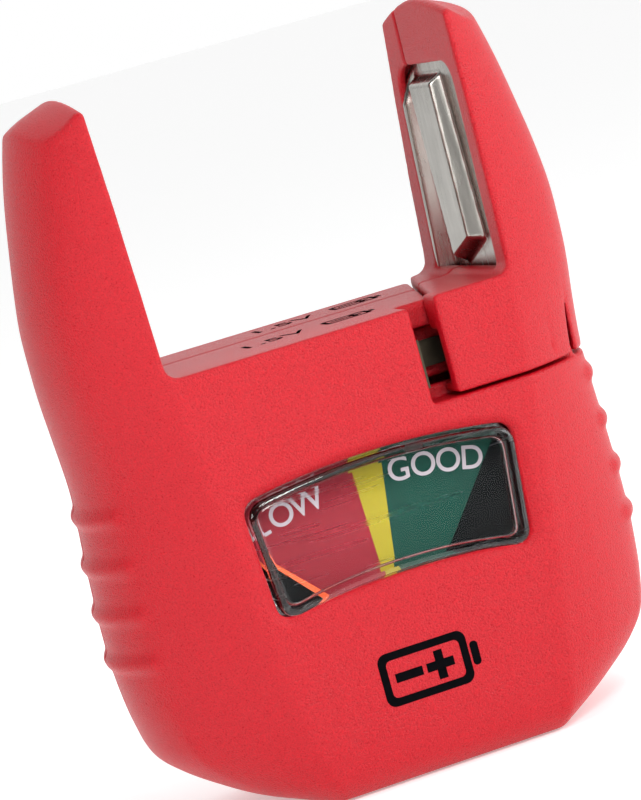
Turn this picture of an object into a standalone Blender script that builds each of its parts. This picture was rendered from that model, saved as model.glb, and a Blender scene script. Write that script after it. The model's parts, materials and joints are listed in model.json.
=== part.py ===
"""Battery tester: a U-shaped plastic case with a fixed left arm, a spring-loaded sliding right arm
and a needle meter behind a curved window. Lengths are in millimetres until build() scales them.

X runs from the fixed arm to the sliding arm, Z up towards the arm tips, and the meter faces -Y."""

import math

import bmesh
import bpy
from mathutils import Matrix, Vector

MM = 0.001

# Overall form
FRONT_Y = -15.3  # flat front panel
REAR_Y = 15.7  # flat back
SEAM_Y = 4.3  # parting plane of the two shells
SEAM_GAP = 0.3
WALL = 1.9
DECK_Z = 53.4  # floor of the cradle between the arms
ARM_INNER_X = 21.5  # inner face of each arm at the deck
ARM_LEAN = 0.9  # how much further out the inner face is at the tip
APEX_Z = 87.6
APEX_Y = -1.6
GAP = 0.35  # clearance between the sliding arm and the case

# height, crease x, ridge x, ridge y, seam x, front y, rear y, rear crease x
LEVELS = (
    (0.0, 14.2, 15.5, -8.0, 15.9, -12.6, 13.0, 12.0),
    (0.9, 14.7, 17.8, -8.6, 18.2, -14.1, 14.5, 12.8),
    (2.6, 15.3, 21.1, -8.8, 21.8, -15.0, 15.4, 14.0),
    (6.0, 16.1, 25.7, -8.8, 27.2, -15.3, 15.7, 16.0),
    (8.6, 16.6, 28.1, -8.8, 30.4, -15.3, 15.7, 17.5),
    (10.4, 16.9, 29.0, -8.8, 31.3, -15.3, 15.7, 18.5),
    (15.0, 17.6, 30.0, -8.6, 32.3, -15.3, 15.7, 19.5),
    (20.0, 18.4, 30.4, -8.6, 32.8, -15.3, 15.7, 20.0),
    (26.0, 19.2, 30.4, -8.7, 32.8, -15.3, 15.7, 20.5),
    (34.0, 20.0, 30.1, -8.9, 32.4, -15.3, 15.7, 21.0),
    (41.8, 20.7, 29.7, -9.2, 31.8, -15.3, 15.7, 21.0),
    (48.0, 21.2, 30.0, -9.8, 32.2, -15.3, 15.7, 21.4),
    (54.0, 21.5, 30.6, -10.4, 32.6, -15.3, 15.5, 21.5),
    (62.0, 21.6, 30.6, -11.0, 32.6, -15.2, 14.4, 21.6),
    (68.0, 21.8, 29.8, -11.4, 31.8, -15.1, 13.5, 21.8),
    (73.0, 21.9, 28.8, -11.6, 31.0, -15.0, 12.5, 21.9),
    (78.0, 22.0, 27.9, -11.6, 30.1, -14.8, 11.5, 22.0),
    (83.0, 22.1, 26.8, -11.4, 28.8, -14.5, 10.5, 22.1),
    (88.0, 22.2, 25.4, -11.0, 27.2, -14.2, 9.5, 22.2),
)

# Sliding arm and the stepped shoulder of the case that it wraps round
NOTCH_X = 8.4  # left wall of the front notch
BLOCK_X = 11.7  # left face of the sliding block
REAR_NOTCH_X = 18.6
REAR_BLOCK_X = 19.3
NOTCH_Z = 41.8
NOTCH_Y = -10.3  # front wall of the shoulder
REAR_NOTCH_Y = 10.3
SHOULDER_X = 28.4
SHOULDER_Z = 52.0
FOOT_Z = 54.0
TONGUE = ((-22.0, -7.6, 44.0), (29.7, 0.0, 50.0))
SLOT_Z = (43.4, 50.3)
TRAVEL = 19.0

# Contact slot in each inner face, as (y, z) points of its outline without the arched top
SLOT_FRONT_Y = -11.2
SLOT_REAR_LOW_Y = 10.6
SLOT_REAR_HIGH_Y = 8.2
SLOT_TOP_Z = 79.6
ARCH_FOOT_Z = 75.5

STRIP_X = ARM_INNER_X + 1.9  # where the contact strips stand behind the inner faces

# Meter
PIVOT_Z = 13.8
DIAL_Y = -9.4
NEEDLE_Y = -10.9
REST_ANGLE = 43.5  # degrees left of upright
WINDOW = {"top_x": 17.1, "low_x": 16.1, "top_z": 37.1, "top_rise": 1.6, "low_z": 22.6, "low_rise": 1.4}

RIB_HEIGHTS = (39.0, 33.1, 27.3, 21.5)

# x and z of the screws driven from the back
CASE_SCREWS = {
    "arm": (-27.7, 66.0),
    "upper_left": (-24.7, 35.6),
    "upper_right": (24.7, 35.6),
    "lower_left": (-19.0, 10.0),
    "lower_right": (19.0, 10.0),
}
SLIDE_SCREWS = {"upper": (27.2, 74.0), "lower": (27.8, 59.0)}
CASE_HEAD_RADIUS = 2.3
SLIDE_HEAD_RADIUS = 1.8
HEAD_HEIGHT = 1.3
HEAD_LIFT = 0.2  # clearance under a head

SLIDING_PIECES = (
    "slide_arm",
    "slide_arm_cover",
    "sliding_contact_strip",
    "button_contact_sliding",
    "wiper",
    "slide_screw_upper",
    "slide_screw_lower",
)
TURNING_PIECES = (
    "meter_spindle",
    "coil_former",
    "moving_coil",
    "pointer_hub",
    "pointer",
    "front_hairspring",
    "rear_hairspring",
)

RED = (0.72, 0.030, 0.045)
COLOURS = {
    "red_plastic": RED,
    "black_plastic": (0.02, 0.02, 0.022),
    "clear_plastic": (0.85, 0.88, 0.88),
    "dial": (0.10, 0.10, 0.10),
    "needle": (0.85, 0.20, 0.05),
    "nickel": (0.62, 0.60, 0.56),
    "steel": (0.50, 0.50, 0.51),
    "brass": (0.70, 0.52, 0.22),
    "copper": (0.72, 0.33, 0.16),
    "board": (0.36, 0.22, 0.10),
    "ceramic": (0.80, 0.76, 0.66),
    "magnet": (0.12, 0.12, 0.13),
    "red_wire": (0.60, 0.02, 0.02),
    "black_wire": (0.02, 0.02, 0.02),
    "paper": (0.75, 0.75, 0.72),
}


def clear_scene():
    for obj in list(bpy.data.objects):
        bpy.data.objects.remove(obj)


def material(name):
    found = bpy.data.materials.get(name)
    if found:
        return found
    made = bpy.data.materials.new(name)
    made.use_nodes = True
    shader = made.node_tree.nodes["Principled BSDF"]
    shader.inputs["Base Color"].default_value = (*COLOURS[name], 1.0)
    metallic = name in ("nickel", "steel", "brass", "copper")
    shader.inputs["Metallic"].default_value = 1.0 if metallic else 0.0
    shader.inputs["Roughness"].default_value = 0.35 if metallic else 0.5
    if name == "clear_plastic":
        shader.inputs["Transmission Weight"].default_value = 0.9
        shader.inputs["Roughness"].default_value = 0.05
    return made


def object_from(work, name):
    """An object from a bmesh, with its faces turned outwards."""
    bmesh.ops.recalc_face_normals(work, faces=work.faces)
    mesh = bpy.data.meshes.new(name)
    work.to_mesh(mesh)
    work.free()
    made = bpy.data.objects.new(name, mesh)
    bpy.context.scene.collection.objects.link(made)
    return made


def box(low, high):
    """A cube scaled and moved so that it fills the space between two corners."""
    low, high = Vector(low) * MM, Vector(high) * MM
    work = bmesh.new()
    place = Matrix.Translation((low + high) / 2.0) @ Matrix.Diagonal((*(high - low), 1.0))
    bmesh.ops.create_cube(work, size=1.0, matrix=place)
    return object_from(work, "box")


def loft(rings, name="loft"):
    """A closed skin over rings of equal point count, capped at both ends."""
    work = bmesh.new()
    levels = [[work.verts.new(Vector(point) * MM) for point in ring] for ring in rings]
    work.faces.new(levels[0])
    work.faces.new(levels[-1])
    for low, high in zip(levels, levels[1:]):
        for i in range(len(low)):
            work.faces.new((low[i - 1], low[i], high[i], high[i - 1]))
    return object_from(work, name)


def prism(outline, axis, start, end):
    """An outline of (a, b) pairs pulled along one axis: along Y the pairs are (x, z)."""
    place = {
        "X": lambda a, b, t: (t, a, b),
        "Y": lambda a, b, t: (a, t, b),
        "Z": lambda a, b, t: (a, b, t),
    }[axis]
    work = bmesh.new()
    face = work.faces.new([work.verts.new(Vector(place(a, b, start)) * MM) for a, b in outline])
    pulled = bmesh.ops.extrude_face_region(work, geom=[face])["geom"]
    moved = [item for item in pulled if isinstance(item, bmesh.types.BMVert)]
    bmesh.ops.translate(work, verts=moved, vec=Vector(place(0.0, 0.0, end - start)) * MM)
    if len(work.faces) == len(outline) + 1:
        work.faces.new(face.verts)
    return object_from(work, "prism")


def circle(radius, centre=(0.0, 0.0), count=20, start=0.0, end=360.0):
    steps = count if end - start >= 360.0 else count + 1
    angles = [math.radians(start + (end - start) * i / count) for i in range(steps)]
    return [(centre[0] + radius * math.cos(a), centre[1] + radius * math.sin(a)) for a in angles]


def cylinder(axis, centre, radius, start, end, count=20):
    """A closed cylinder. Its centre is an (a, b) pair, as for a prism."""
    middle = 0.5 * (start + end)
    spot, turn = {
        "X": ((middle, *centre), Matrix.Rotation(math.pi / 2.0, 4, "Y")),
        "Y": ((centre[0], middle, centre[1]), Matrix.Rotation(math.pi / 2.0, 4, "X")),
        "Z": ((*centre, middle), Matrix.Identity(4)),
    }[axis]
    work = bmesh.new()
    bmesh.ops.create_cone(
        work,
        cap_ends=True,
        segments=count,
        radius1=radius * MM,
        radius2=radius * MM,
        depth=(end - start) * MM,
        matrix=Matrix.Translation(Vector(spot) * MM) @ turn,
    )
    return object_from(work, "cylinder")


def boolean(target, other, operation):
    """Replaces the target's mesh by the result, and removes the other object."""
    modifier = target.modifiers.new("boolean", "BOOLEAN")
    modifier.operation = operation
    modifier.solver = "EXACT"
    modifier.object = other
    graph = bpy.context.evaluated_depsgraph_get()
    result = bpy.data.meshes.new_from_object(target.evaluated_get(graph))
    target.modifiers.clear()
    target.data = result
    bpy.data.objects.remove(other)
    return target


def cut(target, *others):
    for other in others:
        boolean(target, other, "DIFFERENCE")
    return target


def join(target, *others):
    for other in others:
        boolean(target, other, "UNION")
    return target


def meet(target, other):
    return boolean(target, other, "INTERSECT")


def copy_of(obj):
    made = bpy.data.objects.new(obj.name, obj.data.copy())
    bpy.context.scene.collection.objects.link(made)
    return made


def finish(obj, name, colour):
    """Names a finished piece, gives it its material and moves it to the object's collection."""
    obj.name = name
    obj.data.name = name
    obj.data.materials.clear()
    obj.data.materials.append(material(colour))
    for polygon in obj.data.polygons:
        polygon.use_smooth = False
    for group in obj.users_collection:
        group.objects.unlink(obj)
    bpy.data.collections["battery_tester"].objects.link(obj)
    return obj


def wire(path, radius, closed=False):
    """A round wire along points, with filled ends."""
    curve = bpy.data.curves.new("wire", "CURVE")
    curve.dimensions = "3D"
    curve.bevel_depth = radius * MM
    curve.bevel_resolution = 1
    curve.use_fill_caps = True
    spline = curve.splines.new("POLY")
    spline.points.add(len(path) - 1)
    for point, place in zip(spline.points, path):
        point.co = (*(Vector(place) * MM), 1.0)
    spline.use_cyclic_u = closed
    holder = bpy.data.objects.new("wire", curve)
    bpy.context.scene.collection.objects.link(holder)
    graph = bpy.context.evaluated_depsgraph_get()
    mesh = bpy.data.meshes.new_from_object(holder.evaluated_get(graph))
    work = bmesh.new()
    work.from_mesh(mesh)
    bmesh.ops.remove_doubles(work, verts=work.verts, dist=1e-6)
    bmesh.ops.recalc_face_normals(work, faces=work.faces)
    work.to_mesh(mesh)
    work.free()
    bpy.data.objects.remove(holder)
    made = bpy.data.objects.new("wire", mesh)
    bpy.context.scene.collection.objects.link(made)
    return made


# The outer form


def level_at(z):
    """The row of LEVELS at a height, between rows in proportion."""
    if z <= LEVELS[0][0]:
        return LEVELS[0][1:]
    for low, high in zip(LEVELS, LEVELS[1:]):
        if z <= high[0]:
            t = (z - low[0]) / (high[0] - low[0])
            return tuple(a + (b - a) * t for a, b in zip(low[1:], high[1:]))
    return LEVELS[-1][1:]


def bowed(start, end, bow, steps):
    """Points from start to end, the first left out, that bow outwards by a part of the length."""
    dx, dy = end[0] - start[0], end[1] - start[1]
    length = math.hypot(dx, dy)
    normal = (dy / length, -dx / length)
    points = []
    for i in range(1, steps + 1):
        t = i / steps
        rise = length * bow * 4.0 * t * (1.0 - t)
        points.append((start[0] + dx * t + normal[0] * rise, start[1] + dy * t + normal[1] * rise))
    return points


def rear_shoulder(seam_x, rear_y):
    """Where the side of the rear shell turns towards the back."""
    return (seam_x - 2.0, SEAM_Y + 0.58 * (rear_y - SEAM_Y))


def half_section(z):
    """Right half of the outline at a height, from the middle of the front to the middle of the back."""
    crease_x, ridge_x, ridge_y, seam_x, front_y, rear_y, back_x = level_at(z)
    points = [(0.0, front_y), (crease_x * 0.5, front_y), (crease_x, front_y)]
    shoulder = rear_shoulder(seam_x, rear_y)
    points += bowed((crease_x, front_y), (ridge_x, ridge_y), 0.07, 4)
    points += bowed((ridge_x, ridge_y), (seam_x, SEAM_Y), 0.09, 4)
    points += bowed((seam_x, SEAM_Y), shoulder, 0.05, 2)
    points += bowed(shoulder, (back_x, rear_y), 0.08, 3)
    points += [(back_x * 0.5, rear_y), (0.0, rear_y)]
    return points


def section(z, inset=0.0):
    """The whole outline at a height as a ring of (x, y, z), moved inwards by the inset."""
    half = half_section(z)
    outline = half + [(-x, y) for x, y in reversed(half[1:-1])]
    if inset == 0.0:
        return [(x, y, z) for x, y in outline]
    moved = []
    count = len(outline)
    for i, (x, y) in enumerate(outline):
        before, after = outline[i - 1], outline[(i + 1) % count]
        first = Vector((x - before[0], y - before[1])).normalized()
        second = Vector((after[0] - x, after[1] - y)).normalized()
        along = (first + second).normalized()
        reach = inset / max(0.5, math.sqrt(0.5 * (1.0 + first.dot(second))))
        moved.append((x - along.y * reach, y + along.x * reach, z))
    return moved


def back_wall_at(x, z):
    """Y of the outer skin at a place on the back, out to the parting plane."""
    _, _, _, seam_x, _, rear_y, back_x = level_at(z)
    side_x, side_y = rear_shoulder(seam_x, rear_y)
    x = abs(x)
    if x <= back_x:
        return rear_y
    if x <= side_x:
        return rear_y + (side_y - rear_y) * (x - back_x) / (side_x - back_x)
    return side_y + (SEAM_Y - side_y) * (x - side_x) / (seam_x - side_x)


def screw_seat(x, z, head_radius):
    """Y of a counterbore's floor, deep enough for the outer edge of the head to lie below the skin."""
    return back_wall_at(abs(x) + head_radius, z) - HEAD_HEIGHT - 0.5


def outer_form():
    return loft([section(row[0]) for row in LEVELS])


def inner_form():
    heights = [2.0] + [row[0] for row in LEVELS if row[0] > 2.0]
    return loft([section(z, WALL) for z in heights])


def kept_inside(obj):
    """Trims a boss or post so that it ends inside the wall it stands on."""
    heights = [1.0] + [row[0] for row in LEVELS if row[0] > 1.0]
    return meet(obj, loft([section(z, WALL * 0.5) for z in heights]))


def arm_top(side, drop=0.0):
    """Everything above the rounded, outward-sloping tip of one arm."""
    xs = [19.0, 22.3, 23.2, 25.0, 27.0, 29.0, 31.0, 36.0]
    ys = [-20.0, -15.5, -14.4, -12.8, -10.5, -7.5, -4.0, APEX_Y, 4.0, 6.5, 9.0, 12.0, 20.0]

    def top(x, y):
        slope = math.tan(math.radians(20.0)) * (x - 22.7) + 0.06 * max(0.0, x - 26.0) ** 2
        edge = 0.5 * max(0.0, 23.2 - x)
        if y < APEX_Y:
            nose = (2.2 + 0.7 * max(0.0, x - 23.2)) * ((APEX_Y - y) / 13.0) ** 1.6
        else:
            nose = 2.2 * ((y - APEX_Y) / 11.5) ** 1.7
        return APEX_Z - drop - slope - edge - nose

    work = bmesh.new()
    grid = [[work.verts.new(Vector((side * x, y, top(x, y))) * MM) for y in ys] for x in xs]
    for near, far in zip(grid, grid[1:]):
        for i in range(len(ys) - 1):
            work.faces.new((near[i], near[i + 1], far[i + 1], far[i]))
    sheet = list(work.faces)
    raised = bmesh.ops.extrude_face_region(work, geom=sheet, use_keep_orig=True)["geom"]
    for item in raised:
        if isinstance(item, bmesh.types.BMVert):
            item.co.z = 110.0 * MM
    return object_from(work, "arm_top")


def cradle(floor_z, radius=1.5):
    """The space between the arms, with rounded lower corners and faces that lean outwards."""
    half_width = ARM_INNER_X
    high_width = ARM_INNER_X + ARM_LEAN * (100.0 - floor_z) / (APEX_Z - DECK_Z)
    left, right, level = radius - half_width, half_width - radius, floor_z + radius
    outline = [(-high_width, 100.0)]
    outline += circle(radius, (left, level), count=5, start=180, end=270)
    outline += circle(radius, (right, level), count=5, start=270, end=360)
    outline += [(high_width, 100.0)]
    return prism(outline, "Y", -30.0, 30.0)


def diagonal(shift):
    """The line on the deck where the sliding foot begins, as its x at the front and at the back."""
    return (BLOCK_X + shift, REAR_BLOCK_X + shift)


def right_of_diagonal(shift, low_z, high_z):
    front_x, rear_x = diagonal(shift)
    outline = [(front_x, FRONT_Y), (front_x, -20.0), (60.0, -20.0), (60.0, 20.0)]
    outline += [(rear_x, 20.0), (rear_x, REAR_Y)]
    return prism(outline, "Z", low_z, high_z)


def rib(side, z):
    """A grip rib: a rounded bar that follows the side of the case across the parting plane."""
    _, ridge_x, ridge_y, seam_x, _, rear_y, _ = level_at(z)
    path = [(ridge_x - 0.6, ridge_y - 0.5)]
    path += bowed((ridge_x, ridge_y), (seam_x, SEAM_Y), 0.09, 4)
    path += bowed((seam_x, SEAM_Y), rear_shoulder(seam_x, rear_y), 0.05, 3)
    radii = [0.35] + [1.0] + [1.35] * (len(path) - 4) + [1.0, 0.35]
    rings = []
    for i, ((x, y), radius) in enumerate(zip(path, radii)):
        before, after = path[max(0, i - 1)], path[min(len(path) - 1, i + 1)]
        along = Vector((after[0] - before[0], after[1] - before[1])).normalized()
        inwards = Vector((-along.y, along.x))
        centre = Vector((x, y)) + inwards * 0.75
        ring = []
        for a, b in circle(radius, count=8):
            spot = centre - inwards * a
            ring.append((side * spot.x, spot.y, z + b))
        rings.append(ring)
    return loft(rings)


def window_outline(grow=0.0, steps=8):
    """The arched meter window as (x, z) points, larger all round by grow."""
    top_x, low_x = WINDOW["top_x"] + grow, WINDOW["low_x"] + grow
    top_z, low_z = WINDOW["top_z"] + grow, WINDOW["low_z"] - grow
    corner = 1.4 + grow * 0.5
    points = []
    for i in range(steps + 1):
        t = -1.0 + 2.0 * i / steps
        points.append((t * (low_x - corner), low_z + WINDOW["low_rise"] * (1.0 - t * t)))
    points.append((low_x - corner * 0.25, low_z + corner * 0.3))
    points.append((low_x, low_z + corner))
    points.append((top_x, top_z - corner))
    points.append((top_x - corner * 0.3, top_z - corner * 0.25))
    for i in range(steps + 1):
        t = 1.0 - 2.0 * i / steps
        points.append((t * (top_x - corner), top_z + WINDOW["top_rise"] * (1.0 - t * t)))
    points.append((-top_x + corner * 0.3, top_z - corner * 0.25))
    points.append((-top_x, top_z - corner))
    points.append((-low_x, low_z + corner))
    points.append((-low_x + corner * 0.25, low_z + corner * 0.3))
    return points


def slot_outline(grow, low_z):
    """The arched contact slot in an arm's inner face as (y, z) points."""
    middle = 0.5 * (SLOT_FRONT_Y + SLOT_REAR_HIGH_Y)
    radius = 0.5 * (SLOT_REAR_HIGH_Y - SLOT_FRONT_Y) + grow
    rise = SLOT_TOP_Z - ARCH_FOOT_Z + grow
    points = [(SLOT_FRONT_Y - grow, low_z), (SLOT_REAR_LOW_Y + grow, low_z)]
    for i in range(11):
        angle = math.pi * i / 10.0
        across = math.copysign(abs(math.cos(angle)) ** 0.7, math.cos(angle))
        points.append((middle + radius * across, ARCH_FOOT_Z + rise * math.sin(angle) ** 0.7))
    return points


def bead(side, base_x, crown_x, shrink=0.0):
    """The flat-topped rib pressed into a contact strip, wider at its top than at its slanted foot."""
    base = [(-4.3, 57.2), (3.9, 54.8), (5.5, 78.2), (-3.6, 78.2)]
    crown = [(-3.3, 58.4), (2.9, 56.4), (4.5, 77.2), (-2.6, 77.2)]
    inwards = [(shrink, shrink), (-shrink, shrink), (-shrink, -shrink), (shrink, -shrink)]
    low_ring = []
    crown_ring = []
    for i in range(4):
        step_y, step_z = inwards[i]
        y, z = base[i]
        low_ring.append((side * base_x, y + step_y, z + step_z))
        y, z = crown[i]
        lean = ARM_LEAN * (z - DECK_Z) / (APEX_Z - DECK_Z)
        crown_ring.append((side * (crown_x + lean), y + step_y, z + step_z))
    return loft([low_ring, crown_ring])


def contact_strip(side, foot_z):
    """A sprung nickel strip: a flat sheet behind the slot with a bead that is level with the face."""
    back_x = STRIP_X
    strip = prism(slot_outline(0.7, foot_z), "X", side * back_x, side * (back_x + 0.5))
    tail = box((back_x, -4.5, foot_z - 4.0), (back_x + 0.5, -0.5, foot_z + 1.0))
    if side < 0:
        tail.data.transform(Matrix.Diagonal((-1.0, 1.0, 1.0, 1.0)))
        tail.data.flip_normals()
        join(strip, tail)
    else:
        bpy.data.objects.remove(tail)
    join(strip, bead(side, back_x + 0.2, ARM_INNER_X - 0.1))
    return cut(strip, bead(side, back_x + 0.7, ARM_INNER_X + 0.4, shrink=0.45))


# Case


def shoulder_space(grow):
    """The space that the sliding arm's block, skirts and foot take from the right side of the case."""
    low = NOTCH_Z - grow
    space = box((NOTCH_X - grow, -30.0, low), (60.0, NOTCH_Y + grow, 120.0))
    join(space, box((REAR_NOTCH_X - grow, REAR_NOTCH_Y - grow, low), (60.0, 30.0, 120.0)))
    join(space, box((SHOULDER_X - grow, -31.0, low), (61.0, 31.0, 121.0)))
    return join(space, right_of_diagonal(-GAP - grow, SHOULDER_Z - grow, 119.0))


def build_case():
    """Both shells, from one hollow form cut on the parting plane."""
    form = outer_form()
    for z in RIB_HEIGHTS:
        join(form, rib(1, z), rib(-1, z))
    cut(form, cradle(DECK_Z), arm_top(-1), shoulder_space(0.0))
    hollow = inner_form()
    cut(hollow, box((-STRIP_X + 0.2, -30.0, DECK_Z - WALL), (60.0, 30.0, 120.0)))
    cut(hollow, arm_top(-1, drop=WALL), shoulder_space(1.6))
    cut(form, hollow)
    # The tongue's way out through the shoulder's end, and the slot along the shoulder's front
    cut(form, box((25.4, TONGUE[0][1] - 0.35, SLOT_Z[0]), (29.4, TONGUE[1][1] + 0.35, SLOT_Z[1])))
    cut(form, box((9.4, NOTCH_Y - 1.0, SLOT_Z[0]), (29.6, TONGUE[0][1] - 0.1, SLOT_Z[1])))
    cut(form, prism(slot_outline(0.0, DECK_Z + 0.5), "X", -ARM_INNER_X - 3.0, -ARM_INNER_X + 1.0))
    front, rear = form, copy_of(form)
    meet(front, box((-60.0, -40.0, -10.0), (60.0, SEAM_Y - SEAM_GAP / 2, 120.0)))
    meet(rear, box((-60.0, SEAM_Y + SEAM_GAP / 2, -10.0), (60.0, 40.0, 120.0)))
    cut(front, prism(window_outline(), "Y", -30.0, FRONT_Y + 4.0))
    inner_front = FRONT_Y + WALL - 0.4
    for name, (x, z) in CASE_SCREWS.items():
        shift = 3.0 if name == "arm" else 0.0
        join(front, kept_inside(cylinder("Y", (x, z), 2.4, inner_front + shift, SEAM_Y - 0.4, 16)))
        cut(front, cylinder("Y", (x, z), 1.25, -3.0, SEAM_Y + 1.0, 12))
        join(rear, kept_inside(cylinder("Y", (x, z), 3.2, SEAM_Y + 0.4, REAR_Y, 16)))
        cut(rear, cylinder("Y", (x, z), 1.45, SEAM_Y - 1.0, 30.0, 12))
        seat = screw_seat(x, z, CASE_HEAD_RADIUS)
        cut(rear, cylinder("Y", (x, z), 2.6, seat, 30.0, 16))
    # Rails that guide the tongue, and pads that hold the bus strip
    join(front, box((-20.0, inner_front, 42.2), (4.4, 0.4, 43.7)))
    join(front, box((-20.0, inner_front, 50.3), (4.4, 0.4, DECK_Z - WALL + 0.4)))
    for x in (-19.0, 2.3):
        join(front, box((x, inner_front, 43.4), (x + 2.0, -11.35, 50.5)))
    # The hole that the wire of the button-cell contact comes in by
    cut(front, box((6.2, -13.0, 45.6), (8.7, -11.4, 47.2)))
    # Posts for the meter frame, and the spring's anchor post
    for x in (-20.0, 20.0):
        join(front, cylinder("Y", (x, 24.5), 1.7, inner_front, DIAL_Y - 0.3, 12))
    join(rear, cylinder("Y", (-26.5, 47.0), 1.3, 3.0 + SEAM_GAP, REAR_Y - WALL + 0.5, 12))
    # Round openings for the nine-volt contacts
    for x in NINE_VOLT_X:
        cut(rear, cylinder("Y", (x, NINE_VOLT_Z), 3.6, 10.0, 30.0, 20))
    # The recess that the label lies in
    cut(rear, box((-15.0, REAR_Y - 0.35, 16.0), (15.0, 30.0, 30.0)))
    finish(front, "front_shell", "red_plastic")
    finish(rear, "rear_shell", "red_plastic")


NINE_VOLT_X = (-6.35, 6.35)
NINE_VOLT_Z = 42.0


def build_slide_arm():
    """The moving arm: a front moulding with the tongue, and the cover that closes its back."""
    form = outer_form()
    envelope = box((BLOCK_X, -30.0, NOTCH_Z + GAP), (60.0, NOTCH_Y - GAP, FOOT_Z))
    join(envelope, box((REAR_BLOCK_X, REAR_NOTCH_Y + GAP, NOTCH_Z + GAP), (60.0, 30.0, FOOT_Z)))
    join(envelope, box((SHOULDER_X + GAP, -31.0, NOTCH_Z + GAP), (61.0, 31.0, 120.0)))
    join(envelope, right_of_diagonal(0.0, SHOULDER_Z + GAP, FOOT_Z))
    join(envelope, box((ARM_INNER_X - 1.5, -32.0, SHOULDER_Z + GAP), (62.0, 32.0, 121.0)))
    meet(form, envelope)
    cut(form, arm_top(1), cradle(FOOT_Z))
    hollow = inner_form()
    cut(hollow, arm_top(1, drop=WALL))
    meet(hollow, box((STRIP_X - 0.2, -30.0, SHOULDER_Z - 2.0), (60.0, 30.0, 120.0)))
    cut(form, hollow)
    # The pocket in the block behind its left face, open to the gap and to the shoulder
    cut(form, box((BLOCK_X - 1.0, -13.1, SLOT_Z[0]), (25.0, NOTCH_Y + 1.0, 49.7)))
    cut(form, box((STRIP_X - 0.1, -12.2, 49.0), (25.8, NOTCH_Y + 0.8, 55.0)))
    cut(form, prism(slot_outline(0.0, FOOT_Z + 0.5), "X", ARM_INNER_X - 1.0, ARM_INNER_X + 3.0))
    front, rear = form, copy_of(form)
    meet(front, box((-60.0, -40.0, -10.0), (60.0, SEAM_Y - SEAM_GAP / 2, 120.0)))
    meet(rear, box((-60.0, SEAM_Y + SEAM_GAP / 2, -10.0), (60.0, 40.0, 120.0)))
    join(front, box(*TONGUE))
    join(front, cylinder("Y", (4.0, 47.0), 1.3, -1.0, 6.6, 12))
    for x, z in SLIDE_SCREWS.values():
        join(front, kept_inside(cylinder("Y", (x, z), 2.0, FRONT_Y + 1.5, SEAM_Y - 0.4, 14)))
        cut(front, cylinder("Y", (x, z), 1.05, -4.0, SEAM_Y + 1.0, 12))
        join(rear, kept_inside(cylinder("Y", (x, z), 2.6, SEAM_Y + 0.4, REAR_Y, 14)))
        cut(rear, cylinder("Y", (x, z), 1.25, SEAM_Y - 1.0, 30.0, 12))
        seat = screw_seat(x, z, SLIDE_HEAD_RADIUS)
        cut(rear, cylinder("Y", (x, z), 2.1, seat, 30.0, 14))
    finish(front, "slide_arm", "red_plastic")
    finish(rear, "slide_arm_cover", "red_plastic")


def screw(name, x, z, head_radius, shank_radius, length):
    """A pan-head screw driven from the back, with a crossed slot in its head."""
    head_y = screw_seat(x, z, head_radius) + HEAD_LIFT
    made = cylinder("Y", (x, z), head_radius, head_y, head_y + HEAD_HEIGHT, 16)
    join(made, cylinder("Y", (x, z), shank_radius, head_y - length, head_y + 0.3, 10))
    arm = head_radius * 0.62
    for dx, dz in ((arm, 0.25), (0.25, arm)):
        cut(made, box((x - dx, head_y + 0.6, z - dz), (x + dx, head_y + 2.0, z + dz)))
    finish(made, name, "steel")


def build_screws():
    for name, (x, z) in CASE_SCREWS.items():
        screw("case_screw_" + name, x, z, CASE_HEAD_RADIUS, 1.05, 10.0)
    for name, (x, z) in SLIDE_SCREWS.items():
        screw("slide_screw_" + name, x, z, SLIDE_HEAD_RADIUS, 0.85, 9.0)


def build_contacts():
    finish(contact_strip(-1, 50.6), "fixed_contact_strip", "nickel")
    finish(contact_strip(1, 52.6), "sliding_contact_strip", "nickel")
    # Button-cell contacts: one on the notch's wall, one in the mouth of the sliding block
    fixed = box((NOTCH_X + 0.15, -14.2, 43.6), (NOTCH_X + 0.45, -10.6, 49.4))
    finish(fixed, "button_contact_fixed", "nickel")
    sliding = box((BLOCK_X + 0.9, -12.8, 44.2), (BLOCK_X + 1.2, -10.7, 49.2))
    join(sliding, box((BLOCK_X + 1.0, -12.0, 44.6), (24.8, -11.7, 48.8)))
    join(sliding, box((24.1, -12.0, 44.8), (24.8, -11.7, 52.2)))
    finish(sliding, "button_contact_sliding", "nickel")
    wiper = box((-16.0, -8.3, 45.4), (20.0, -8.0, 48.6))
    join(wiper, box((18.4, -11.5, 45.4), (18.8, -8.1, 48.6)))
    finger = [(-15.9, -8.3), (-15.9, -8.0), (-19.0, -9.8), (-21.4, -10.5)]
    finger += [(-23.0, -9.6), (-23.0, -9.9), (-21.4, -10.8), (-19.0, -10.1)]
    join(wiper, prism(finger, "Z", 45.9, 48.1))
    finish(wiper, "wiper", "brass")
    finish(box((-24.0, -11.25, 44.2), (4.6, -10.95, 49.8)), "bus_strip", "brass")
    # Nine-volt contacts: a cup and a plug just behind the round openings in the back
    for name, x, radius in (("positive", NINE_VOLT_X[0], 3.0), ("negative", NINE_VOLT_X[1], 2.4)):
        plate = box((x - 3.9, 12.7, NINE_VOLT_Z - 3.9), (x + 3.9, 13.2, NINE_VOLT_Z + 3.9))
        join(plate, cylinder("Y", (x, NINE_VOLT_Z), radius, 13.0, 14.2, 16))
        finish(plate, "nine_volt_contact_" + name, "nickel")


def helix(start, end, turns, radius, lead, steps=9):
    """A coil along X between two hooks that bend to the coil's middle line."""
    y, z = start[1], start[2]
    points = [start, (start[0] + lead * 0.6, y, z)]
    count = turns * steps
    x0, x1 = start[0] + lead, end[0] - lead
    for i in range(count + 1):
        angle = 2.0 * math.pi * i / steps
        x = x0 + (x1 - x0) * i / count
        points.append((x, y + radius * math.cos(angle), z + radius * math.sin(angle)))
    return points + [(end[0] - lead * 0.6, y, z), end]


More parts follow.
